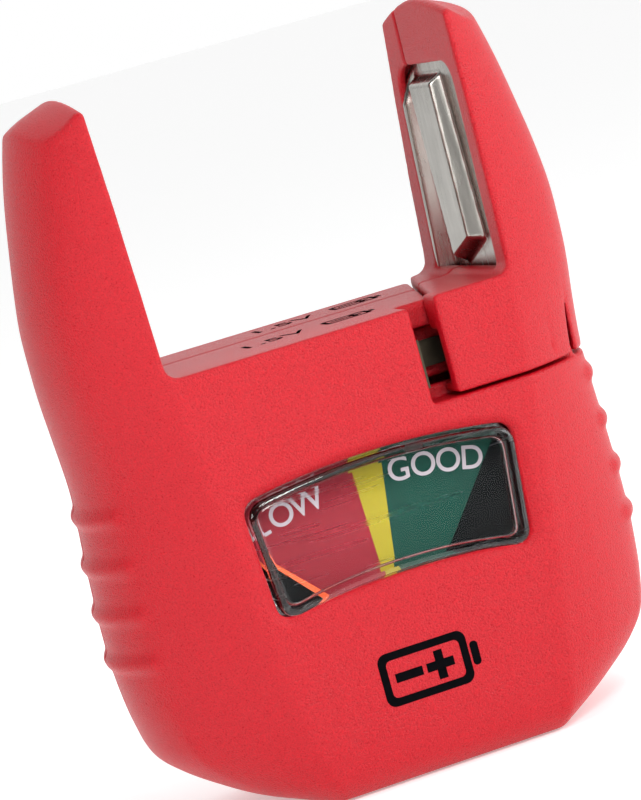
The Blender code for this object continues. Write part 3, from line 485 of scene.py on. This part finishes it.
def new_material(name, colour, roughness, metallic=0.0):
    made = bpy.data.materials.new(name)
    made.use_nodes = True
    shader = made.node_tree.nodes["Principled BSDF"]
    shader.inputs["Base Color"].default_value = (*colour, 1.0)
    shader.inputs["Roughness"].default_value = roughness
    shader.inputs["Metallic"].default_value = metallic
    return made


def principled(material):
    return material.node_tree.nodes["Principled BSDF"]


def noise_of(material, scale, detail=3.0, stretch=(1.0, 1.0, 1.0), turn=0.0):
    """A noise in the object's own coordinates, turned about Y. Its output is between 0 and 1."""
    tree = material.node_tree
    place = tree.nodes.new("ShaderNodeTexCoord")
    mapping = tree.nodes.new("ShaderNodeMapping")
    mapping.inputs["Rotation"].default_value = (0.0, turn, 0.0)
    mapping.inputs["Scale"].default_value = stretch
    noise = tree.nodes.new("ShaderNodeTexNoise")
    noise.inputs["Scale"].default_value = scale
    noise.inputs["Detail"].default_value = detail
    tree.links.new(place.outputs["Object"], mapping.inputs["Vector"])
    tree.links.new(mapping.outputs["Vector"], noise.inputs["Vector"])
    return noise.outputs["Fac"]


def ramp_of(material, source, low, high, low_colour, high_colour):
    """A colour ramp between two places of a source value."""
    tree = material.node_tree
    ramp = tree.nodes.new("ShaderNodeValToRGB")
    ramp.color_ramp.elements[0].position = low
    ramp.color_ramp.elements[1].position = high
    ramp.color_ramp.elements[0].color = (*low_colour, 1.0)
    ramp.color_ramp.elements[1].color = (*high_colour, 1.0)
    tree.links.new(source, ramp.inputs["Fac"])
    return ramp.outputs["Color"]


def grey(value):
    return (value, value, value)


def vary_roughness(material, source, low, high):
    colour = ramp_of(material, source, 0.3, 0.7, grey(low), grey(high))
    material.node_tree.links.new(colour, principled(material).inputs["Roughness"])


def vary_colour(material, source, first, second, low=0.3, high=0.7):
    colour = ramp_of(material, source, low, high, first, second)
    material.node_tree.links.new(colour, principled(material).inputs["Base Color"])


def add_bump(material, source, strength, distance, before=None):
    """Bump from a source value, on top of an earlier bump's normal if there is one."""
    tree = material.node_tree
    bump = tree.nodes.new("ShaderNodeBump")
    bump.inputs["Strength"].default_value = strength
    bump.inputs["Distance"].default_value = distance * MM
    tree.links.new(source, bump.inputs["Height"])
    if before:
        tree.links.new(before, bump.inputs["Normal"])
    tree.links.new(bump.outputs["Normal"], principled(material).inputs["Normal"])
    return bump.outputs["Normal"]


def red_plastic():
    """Moulded plastic with a fine spark-eroded grain and a slight marbling."""
    made = new_material("red_plastic", (0.50, 0.003, 0.010), 0.36)
    fine = noise_of(made, 5200.0, 2.0)
    vary_colour(made, fine, (0.42, 0.001, 0.008), (0.58, 0.004, 0.014))
    vary_roughness(made, fine, 0.26, 0.46)
    add_bump(made, fine, 1.0, 0.18)
    principled(made).inputs["Specular IOR Level"].default_value = 0.34
    return made


def metal(name, colour, roughness, stretch=(1.0, 1.0, 1.0), scale=900.0):
    """A metal with drawn streaks or a fine mottle, and patches that are a little duller."""
    made = new_material(name, colour, roughness, 1.0)
    fine = noise_of(made, scale, 4.0, stretch)
    vary_roughness(made, fine, roughness * 0.75, roughness * 1.3)
    patches = noise_of(made, 240.0, 3.0)
    dull = tuple(0.82 * value for value in colour)
    vary_colour(made, patches, dull, colour)
    add_bump(made, fine, 0.25, 0.01)
    return made


def dull_solid(name, colour, roughness, scale=600.0, spread=0.12, bump=0.02):
    """A plastic, ceramic, board or paper with a little speckle."""
    made = new_material(name, colour, roughness)
    speckle = noise_of(made, scale, 3.0)
    dark = tuple(value * (1.0 - spread) for value in colour)
    vary_colour(made, speckle, dark, colour)
    add_bump(made, speckle, 0.3, bump)
    return made


def dial_print(name, colour):
    """Screen printing on sheet metal, satin, with faint dust."""
    made = new_material(name, colour, 0.45)
    principled(made).inputs["Specular IOR Level"].default_value = 0.05
    dust = noise_of(made, 1500.0, 4.0)
    lighter = tuple(min(1.0, value * 1.12 + 0.002) for value in colour)
    vary_colour(made, dust, colour, lighter, 0.55, 0.8)
    vary_roughness(made, noise_of(made, 300.0), 0.38, 0.55)
    return made


# Angle on the window and closeness of each set of fine scratches
SCRATCHES = ((35.0, 900.0), (-50.0, 1100.0))


def clear_plastic(name, ior):
    """Clear moulded plastic, scratched by use."""
    made = new_material(name, (0.93, 0.95, 0.95), 0.04)
    shader = principled(made)
    shader.inputs["Transmission Weight"].default_value = 1.0
    shader.inputs["IOR"].default_value = ior
    normal = None
    for angle, closeness in SCRATCHES:
        streaks = noise_of(made, 1.6, 1.0, (30.0, 30.0, closeness), math.radians(angle))
        lines = ramp_of(made, streaks, 0.66, 0.72, grey(0.0), grey(1.0))
        normal = add_bump(made, lines, 0.12, 0.02, normal)
    vary_roughness(made, lines, 0.03, 0.35)
    return made


def build_materials():
    return {
        "red_plastic": red_plastic(),
        "black_plastic": dull_solid("black_plastic", (0.018, 0.018, 0.02), 0.5),
        "clear_plastic": clear_plastic("clear_plastic", 1.5),
        "clear_face": clear_plastic("clear_face", 1.15),
        # Painted shade: a darkened metal colour for the contacts inside the arm's pocket, standing in for
        # the shadow there
        "shaded_contact_metal": metal("pocket_shade_metal", (0.10, 0.085, 0.06), 0.45),
        "dial": dial_print("dial_black", (0.003, 0.0035, 0.004)),
        "needle": dull_solid("needle_paint", (0.95, 0.13, 0.035), 0.4, spread=0.05),
        "nickel": metal("nickel", (0.44, 0.42, 0.385), 0.24, (1.0, 1.0, 0.12)),
        "steel": metal("steel", (0.55, 0.55, 0.56), 0.3),
        "brass": metal("brass", (0.72, 0.53, 0.24), 0.3),
        "copper": metal("enamelled_copper", (0.62, 0.24, 0.09), 0.32, (1.0, 14.0, 1.0), 1500.0),
        "board": dull_solid("phenolic_board", (0.32, 0.17, 0.06), 0.6),
        "ceramic": dull_solid("resistor_body", (0.72, 0.66, 0.52), 0.45),
        "magnet": dull_solid("sintered_magnet", (0.09, 0.09, 0.1), 0.55, spread=0.3),
        "red_wire": dull_solid("red_insulation", (0.55, 0.015, 0.015), 0.4),
        "black_wire": dull_solid("black_insulation", (0.015, 0.015, 0.017), 0.4),
        "paper": dull_solid("label_film", (0.78, 0.78, 0.76), 0.4, spread=0.04),
    }


# Contacts inside the sliding arm's pocket, given the darkened metal of painted shade
HIDDEN_CONTACTS = ("wiper", "button_contact_fixed", "button_contact_sliding")


def dress_nodes(materials):
    """Gives each CAD node the material of its slot, and to the inner contacts a dark metal whose colour is
    painted shade, standing in for the shadow of the pocket they sit in.
    """
    for subpart in frame["record"]["subparts"]:
        node = frame["nodes"][subpart["node"]]
        hidden = subpart["node"] in HIDDEN_CONTACTS
        node.data.materials.clear()
        node.data.materials.append(materials["shaded_contact_metal" if hidden else subpart["material_slot"]])
        node.data.shade_smooth()
        node.data.set_sharp_from_angle(angle=math.radians(32.0))


# Contact strips


def bead_height(y, z, low_z, high_z):
    """Share of the bead's full height at a place on the strip, with bends rounded."""
    share = min(1.0, max(0.0, (z - low_z) / (high_z - low_z)))
    rear_y = 4.1 + 1.9 * share
    front_y = -4.6 + 0.7 * share
    lower_end = low_z + 0.34 * (rear_y - y)
    inside = min(rear_y - y, y - front_y, z - lower_end, high_z - z)
    rise = min(1.0, max(0.0, inside / 1.25))
    return rise * rise * (3.0 - 2.0 * rise)


def rim_height(y, z, rear_y, front_y):
    """Share of the way up to the arm's face that the strip's rear and front borders reach."""
    from_rear = min(1.0, max(0.0, 1.0 - (rear_y - 0.8 - y) / 1.3))
    from_front = min(1.0, max(0.0, 1.0 - (y - front_y - 0.8) / 0.8))
    below_arch = min(1.0, max(0.0, (SLOT_TOP_Z - 0.6 - z) / 4.0))
    return max(0.92 * from_rear, 0.5 * from_front) * below_arch


def strip_edges(z, foot_z):
    """Front and rear edge of the strip at a height, closing in an arch at its top."""
    share = min(1.0, max(0.0, (z - foot_z) / (ARCH_FOOT_Z - foot_z)))
    rear_y = SLOT_REAR_LOW_Y + (SLOT_REAR_HIGH_Y - SLOT_REAR_LOW_Y) * share + 0.7
    front_y = SLOT_FRONT_Y - 0.7
    climb = min(1.0, max(0.0, (z - ARCH_FOOT_Z) / (SLOT_TOP_Z + 0.7 - ARCH_FOOT_Z)))
    narrow = (1.0 - climb**2.8) ** (1.0 / 2.8)
    middle = 0.5 * (front_y + rear_y)
    half = 0.5 * (rear_y - front_y) * max(narrow, 0.05)
    return middle - half, middle + half


def build_strip(name, side, foot_z, node, body, nickel):
    """A pressed nickel sheet behind the slot, with its raised contact bead."""
    rows, columns = 116, 92
    low_z, high_z = 54.5, 78.3
    top_z = SLOT_TOP_Z + 0.69
    work = bmesh.new()
    grid = []
    for i in range(rows):
        z = foot_z + (top_z - foot_z) * i / (rows - 1)
        front_y, rear_y = strip_edges(z, foot_z)
        lean = ARM_LEAN * max(0.0, z - DECK_Z) / (APEX_Z - DECK_Z)
        line = []
        for j in range(columns):
            y = front_y + (rear_y - front_y) * j / (columns - 1)
            crown_x = ARM_INNER_X + lean - 0.1
            rise = max(bead_height(y, z, low_z, high_z), rim_height(y, z, rear_y, front_y))
            x = STRIP_X + 0.15 + (crown_x - STRIP_X - 0.15) * rise
            line.append(work.verts.new(Vector((side * x, y, z)) * MM))
        grid.append(line)
    for low, high in zip(grid, grid[1:]):
        for j in range(columns - 1):
            corners = (low[j], low[j + 1], high[j + 1], high[j])
            work.faces.new(corners if side < 0 else corners[::-1])
    mesh = bpy.data.meshes.new(name)
    work.to_mesh(mesh)
    work.free()
    made = placed(name, mesh, body, nickel, "nickel", node)
    thick = made.modifiers.new("sheet", "SOLIDIFY")
    thick.thickness = 0.4 * MM
    thick.offset = -1.0
    return made


# Lens and dial


def corner_points(before, corner, after, steps=5):
    """A rounded corner between two points, bent towards the sharp one."""
    points = []
    for i in range(steps + 1):
        t = i / steps
        a, b, c = (1.0 - t) ** 2, 2.0 * t * (1.0 - t), t * t
        points.append(tuple(a * p + b * q + c * r for p, q, r in zip(before, corner, after)))
    return points


def window_outline(grow, steps=14):
    """The arched window as (x, z) points, larger all round by grow."""
    w = WINDOW
    top_x, low_x = w["top_x"] + grow, w["low_x"] + grow
    top_z, low_z = w["top_z"] + grow, w["low_z"] - grow
    reach = max(0.5, CORNER + grow * 0.6)
    points = []
    for side in (1, -1):
        corner_low, corner_top = (side * low_x, low_z), (side * top_x, top_z)
        low_run = (side * (low_x - reach), low_z + 0.1)
        low_up = (side * (low_x + 0.05), low_z + reach)
        top_down = (side * (top_x - 0.05), top_z - reach)
        top_run = (side * (top_x - reach), top_z + 0.35)
        if side > 0:
            points += corner_points(low_run, corner_low, low_up)
            points += corner_points(top_down, corner_top, top_run)
            ends = (top_x - reach, -(top_x - reach))
            rise, base = w["top_rise"] - 0.35, top_z + 0.35
        else:
            points += corner_points(top_run, corner_top, top_down)
            points += corner_points(low_up, corner_low, low_run)
            ends = (-(low_x - reach), low_x - reach)
            rise, base = w["low_rise"] - 0.1, low_z + 0.1
        for i in range(1, steps):
            x = ends[0] + (ends[1] - ends[0]) * i / steps
            points.append((x, base + rise * (1.0 - (x / ends[0]) ** 2)))
    return points


def lofted(name, rings):
    """A skin over rings of equal point count, closed at both ends."""
    work = bmesh.new()
    levels = [[work.verts.new(Vector(point) * MM) for point in ring] for ring in rings]
    work.faces.new(levels[0])
    work.faces.new(levels[-1])
    for low, high in zip(levels, levels[1:]):
        for i in range(len(low)):
            work.faces.new((low[i - 1], low[i], high[i], high[i - 1]))
    bmesh.ops.recalc_face_normals(work, faces=work.faces)
    mesh = bpy.data.meshes.new(name)
    work.to_mesh(mesh)
    work.free()
    return mesh


FLANGE_Y = (FRONT_Y + WALL + 0.3, -12.2)  # front and rear of the lens's flange


def build_lens(clear, face):
    """A clear tub: a flat front with a rounded rim, thick side walls and a flange behind the case wall."""
    front_y = FRONT_Y - 0.4
    path = []  # how much wider than the window, and y: from the front round the flange and in again
    for i in range(7):
        angle = 0.5 * math.pi * i / 6.0
        path.append((-0.3 - 0.75 * (1.0 - math.sin(angle)), front_y + 0.75 * (1.0 - math.cos(angle))))
    path += [(-0.3, FLANGE_Y[0]), (1.2, FLANGE_Y[0]), (1.2, FLANGE_Y[1]), (-1.3, FLANGE_Y[1])]
    for i in range(5):
        angle = 0.5 * math.pi * i / 4.0
        grow = -1.3 - 0.4 * (1.0 - math.cos(angle))
        path.append((grow, front_y + 1.5 + 0.4 * (1.0 - math.sin(angle))))
    rings = [[(x, y, z) for x, z in window_outline(grow)] for grow, y in path]
    lens = placed("lens", lofted("lens", rings), "case", clear, "clear_plastic", "meter_lens")
    lens.data.materials.append(face)
    for cap in lens.data.polygons:
        cap.material_index = int(len(cap.vertices) > 4)
    lens.data.set_sharp_from_angle(angle=math.radians(50.0))
    lens.visible_shadow = False


SECTOR_APEX_X = -1.0
SECTORS = (
    ("dial_low", -40.9, -2.0, (0.27, 0.022, 0.034)),
    ("dial_middle", -2.0, 7.6, (0.37, 0.30, 0.028)),
    ("dial_good", 7.6, 38.5, (0.010, 0.058, 0.042)),
)


def sector_mesh(name, start, end):
    """A sector of the dial's print, from near the pivot to the plate's edges."""
    inner, outer = [], []
    steps = max(3, int((end - start) / 3.0))
    for i in range(steps + 1):
        angle = math.radians(start + (end - start) * i / steps)
        reach = min(31.0, 25.3 / max(0.2, math.cos(angle)), 17.5 / max(0.2, abs(math.sin(angle))))
        for radius, line in ((8.7, inner), (reach, outer)):
            x = SECTOR_APEX_X + radius * math.sin(angle)
            line.append((x, DIAL_Y - 0.03, PIVOT_Z + radius * math.cos(angle)))
    work = bmesh.new()
    low = [work.verts.new(Vector(point) * MM) for point in inner]
    high = [work.verts.new(Vector(point) * MM) for point in outer]
    for i in range(steps):
        work.faces.new((low[i], low[i + 1], high[i + 1], high[i]))
    mesh = bpy.data.meshes.new(name)
    work.to_mesh(mesh)
    work.free()
    return mesh


def letter_mesh(text, size, spacing=1.0):
    """A flat text in the XY plane as a mesh, centred on its middle."""
    curve = bpy.data.curves.new(text, "FONT")
    curve.body = text
    curve.size = size * MM
    curve.align_x = "CENTER"
    curve.align_y = "CENTER"
    curve.space_character = spacing
    curve.offset = 0.035 * MM
    curve.extrude = 0.01 * MM
    holder = bpy.data.objects.new(text, curve)
    bpy.context.scene.collection.objects.link(holder)
    graph = bpy.context.evaluated_depsgraph_get()
    mesh = bpy.data.meshes.new_from_object(holder.evaluated_get(graph))
    bpy.data.objects.remove(holder)
    return mesh


UPRIGHT = Matrix.Rotation(math.pi / 2.0, 4, "X")  # from the XY plane to a face that looks along -Y
ARC_RADIUS = 60.0  # of the line that the dial's words follow
ARC_TOP_Z = 35.0
LETTER_SIZE = 4.0
LOW_X = (-14.3, -11.4, -8.0)
GOOD_X = (3.8, 6.9, 10.0, 12.9)


def arc_word(text, places, size, white):
    """A word on the dial whose letters follow an arc, as one mesh."""
    work = bmesh.new()
    for letter, x in zip(text, places):
        tilt = x / ARC_RADIUS
        spot = Vector((x, DIAL_Y - 0.06, ARC_TOP_Z - x * x / (2.0 * ARC_RADIUS))) * MM
        mesh = letter_mesh(letter, size)
        mesh.transform(Matrix.Translation(spot) @ Matrix.Rotation(tilt, 4, "Y") @ UPRIGHT)
        work.from_mesh(mesh)
        bpy.data.meshes.remove(mesh)
    mesh = bpy.data.meshes.new("word_" + text.lower())
    work.to_mesh(mesh)
    work.free()
    placed("word_" + text.lower(), mesh, "case", white, "dial")


def build_dial():
    for name, start, end, colour in SECTORS:
        mesh = sector_mesh(name, start, end)
        placed(name, mesh, "case", dial_print(name, colour), "dial")
    white = dial_print("dial_white", (0.52, 0.46, 0.50))
    arc_word("LOW", LOW_X, LETTER_SIZE, white)
    arc_word("GOOD", GOOD_X, LETTER_SIZE, white)


# Prints

PRINT_LIFT = 0.012  # above the surface that they are on


def flat_shape(name, loops):
    """Closed loops of (x, y) points as one flat mesh, where a loop inside another is a hole."""
    curve = bpy.data.curves.new(name, "CURVE")
    curve.dimensions = "2D"
    curve.fill_mode = "BOTH"
    curve.extrude = 0.01 * MM
    for loop in loops:
        spline = curve.splines.new("POLY")
        spline.points.add(len(loop) - 1)
        for point, (x, y) in zip(spline.points, loop):
            point.co = (x * MM, y * MM, 0.0, 1.0)
        spline.use_cyclic_u = True
    holder = bpy.data.objects.new(name, curve)
    bpy.context.scene.collection.objects.link(holder)
    graph = bpy.context.evaluated_depsgraph_get()
    mesh = bpy.data.meshes.new_from_object(holder.evaluated_get(graph))
    bpy.data.objects.remove(holder)
    return mesh


def rounded_box(x0, y0, x1, y1, radius, steps=6):
    points = []
    left, right, low, top = x0 + radius, x1 - radius, y0 + radius, y1 - radius
    corners = ((right, top), (left, top), (left, low), (right, low))
    for number, (x, y) in enumerate(corners):
        for i in range(steps + 1):
            angle = 0.5 * math.pi * (number + i / steps)
            points.append((x + radius * math.cos(angle), y + radius * math.sin(angle)))
    return points


def plus_loop(x, y, arm, half):
    """A plus sign's outline."""
    outline = [(arm, half), (half, half), (half, arm)]
    points = []
    for quarter in range(4):
        cosine, sine = math.cos(0.5 * math.pi * quarter), math.sin(0.5 * math.pi * quarter)
        for a, b in outline:
            points.append((x + a * cosine - b * sine, y + a * sine + b * cosine))
    return points


def battery_loops(length, height, line):
    """A battery pictogram lying along X: a can, its cap, a plus and a minus sign."""
    a, b = 0.5 * length, 0.5 * height
    can_end = a - 0.1 * length
    sign, stroke = 0.54 * height, 0.085 * height
    minus_x = -a + 0.14 * length
    return [
        rounded_box(-a, -b, can_end, b, 0.18 * height),
        rounded_box(-a + line, -b + line, can_end - line, b - line, 0.1 * height),
        rounded_box(can_end + 0.25 * line, -0.45 * b, a, 0.45 * b, 0.07 * height),
        plus_loop(can_end - 0.30 * length, 0.0, 0.5 * sign, stroke),
        rounded_box(minus_x, -stroke, minus_x + sign, stroke, 0.03),
    ]


def build_prints(materials):
    black = dull_solid("printing_ink", (0.004, 0.004, 0.005), 0.5, 1200.0, 0.2, 0.01)
    principled(black).inputs["Specular IOR Level"].default_value = 0.0
    mesh = flat_shape("front_mark", battery_loops(12.4, 6.4, 0.95))
    mesh.transform(Matrix.Translation(Vector((-0.4, FRONT_Y - PRINT_LIFT, 12.4)) * MM) @ UPRIGHT)
    placed("front_mark", mesh, "case", black, "black_plastic")
    # On the deck, in front of the parting line and behind it
    for name, y, middle in (("front", -4.6, -0.6), ("rear", 9.6, 5.0)):
        battery = flat_shape("deck_cell_" + name, battery_loops(6.4, 3.8, 0.55))
        battery.transform(Matrix.Translation(Vector((middle + 4.9, y, DECK_Z + PRINT_LIFT)) * MM))
        placed("deck_cell_" + name, battery, "case", black, "black_plastic")
        volts = letter_mesh("1.5V", 4.8)
        volts.transform(Matrix.Translation(Vector((middle - 4.9, y, DECK_Z + PRINT_LIFT)) * MM))
        placed("deck_volts_" + name, volts, "case", black, "black_plastic")


# Surroundings

BRIGHT_SIDE = (0.62, 0.55, 0.56)  # direction of the studio's pale side


def build_camera():
    """A long lens from the left of the front, a little above, with the tester leaning to the left."""
    azimuth, elevation, roll = math.radians(-16.0), math.radians(6.6), math.radians(15.3)
    distance = 477.3
    towards_camera = Vector(
        (
            math.sin(azimuth) * math.cos(elevation),
            -math.cos(azimuth) * math.cos(elevation),
            math.sin(elevation),
        )
    )
    right = Vector((math.cos(azimuth), math.sin(azimuth), 0.0))
    up = towards_camera.cross(right)
    turned_right = right * math.cos(roll) - up * math.sin(roll)
    turned_up = right * math.sin(roll) + up * math.cos(roll)
    camera = bpy.data.cameras.new("camera")
    camera.sensor_fit = "VERTICAL"
    camera.sensor_height = 24.0
    camera.lens = 120.0
    camera.shift_x = -0.005625
    camera.shift_y = 0.005625
    camera.clip_start = 0.01
    holder = bpy.data.objects.new("camera", camera)
    middle = Vector((0.0, 0.0, 43.7))
    basis = Matrix((turned_right, turned_up, towards_camera)).transposed().to_4x4()
    holder.matrix_world = Matrix.Translation((middle + towards_camera * distance) * MM) @ basis
    bpy.context.scene.collection.objects.link(holder)
    bpy.context.scene.camera = holder


def area_light(name, place, size, power, target=(0.0, 0.0, 0.045)):
    """A square soft box that faces a point, by default the middle of the tester."""
    light = bpy.data.lights.new(name, "AREA")
    light.size = size
    light.energy = power
    holder = bpy.data.objects.new(name, light)
    holder.location = place
    holder.rotation_euler = (Vector(target) - Vector(place)).to_track_quat("-Z", "Y").to_euler()
    holder.visible_camera = False
    bpy.context.scene.collection.objects.link(holder)


def build_world():
    """A studio that is pale above, to the right and behind, and dim on the other side."""
    world = bpy.data.worlds.new("studio")
    world.use_nodes = True
    tree = world.node_tree
    direction = tree.nodes.new("ShaderNodeTexCoord")
    bright_side = tree.nodes.new("ShaderNodeVectorMath")
    bright_side.operation = "DOT_PRODUCT"
    bright_side.inputs[1].default_value = BRIGHT_SIDE
    tree.links.new(direction.outputs["Generated"], bright_side.inputs[0])
    ramp = tree.nodes.new("ShaderNodeValToRGB")
    ramp.color_ramp.elements[0].position = 0.0
    ramp.color_ramp.elements[1].position = 0.5
    ramp.color_ramp.elements[0].color = (*grey(0.10), 1.0)
    tree.links.new(bright_side.outputs["Value"], ramp.inputs["Fac"])
    tree.links.new(ramp.outputs["Color"], tree.nodes["Background"].inputs["Color"])
    tree.nodes["Background"].inputs["Strength"].default_value = 1.0
    bpy.context.scene.world = world


def build_lights():
    area_light("key", (0.05, -0.55, 0.50), 0.18, 1.4)
    area_light("right", (0.55, -0.20, 0.20), 0.45, 2.0)
    area_light("left", (-0.52, -0.26, 0.22), 0.22, 1.2)
    area_light("table", (0.0, -0.30, 0.22), 0.10, 0.35, (0.0, -0.2, 0.0))


def build_floor():
    """A pale table, lit a little from within so that it stays white around the tester."""
    work = bmesh.new()
    bmesh.ops.create_grid(work, x_segments=1, y_segments=1, size=4.0)
    mesh = bpy.data.meshes.new("floor")
    work.to_mesh(mesh)
    work.free()
    floor = bpy.data.objects.new("floor", mesh)
    floor.location.z = -0.0002
    bpy.context.scene.collection.objects.link(floor)
    paper = dull_solid("floor_paper", (0.92, 0.92, 0.92), 0.9, 50.0, 0.01, 0.001)
    principled(paper).inputs["Emission Color"].default_value = (1.0, 1.0, 1.0, 1.0)
    principled(paper).inputs["Emission Strength"].default_value = 0.32
    mesh.materials.append(paper)


materials = build_materials()
dress_nodes(materials)
build_shells(materials["red_plastic"])
build_strip("fixed_strip", -1, 50.7, "fixed_contact_strip", "case", materials["nickel"])
build_strip("sliding_strip", 1, 52.7, "sliding_contact_strip", "sliding_arm", materials["nickel"])
build_lens(materials["clear_plastic"], materials["clear_face"])
build_dial()
build_prints(materials)
build_camera()
build_world()
build_lights()
build_floor()
bpy.context.scene.view_settings.view_transform = "Standard"
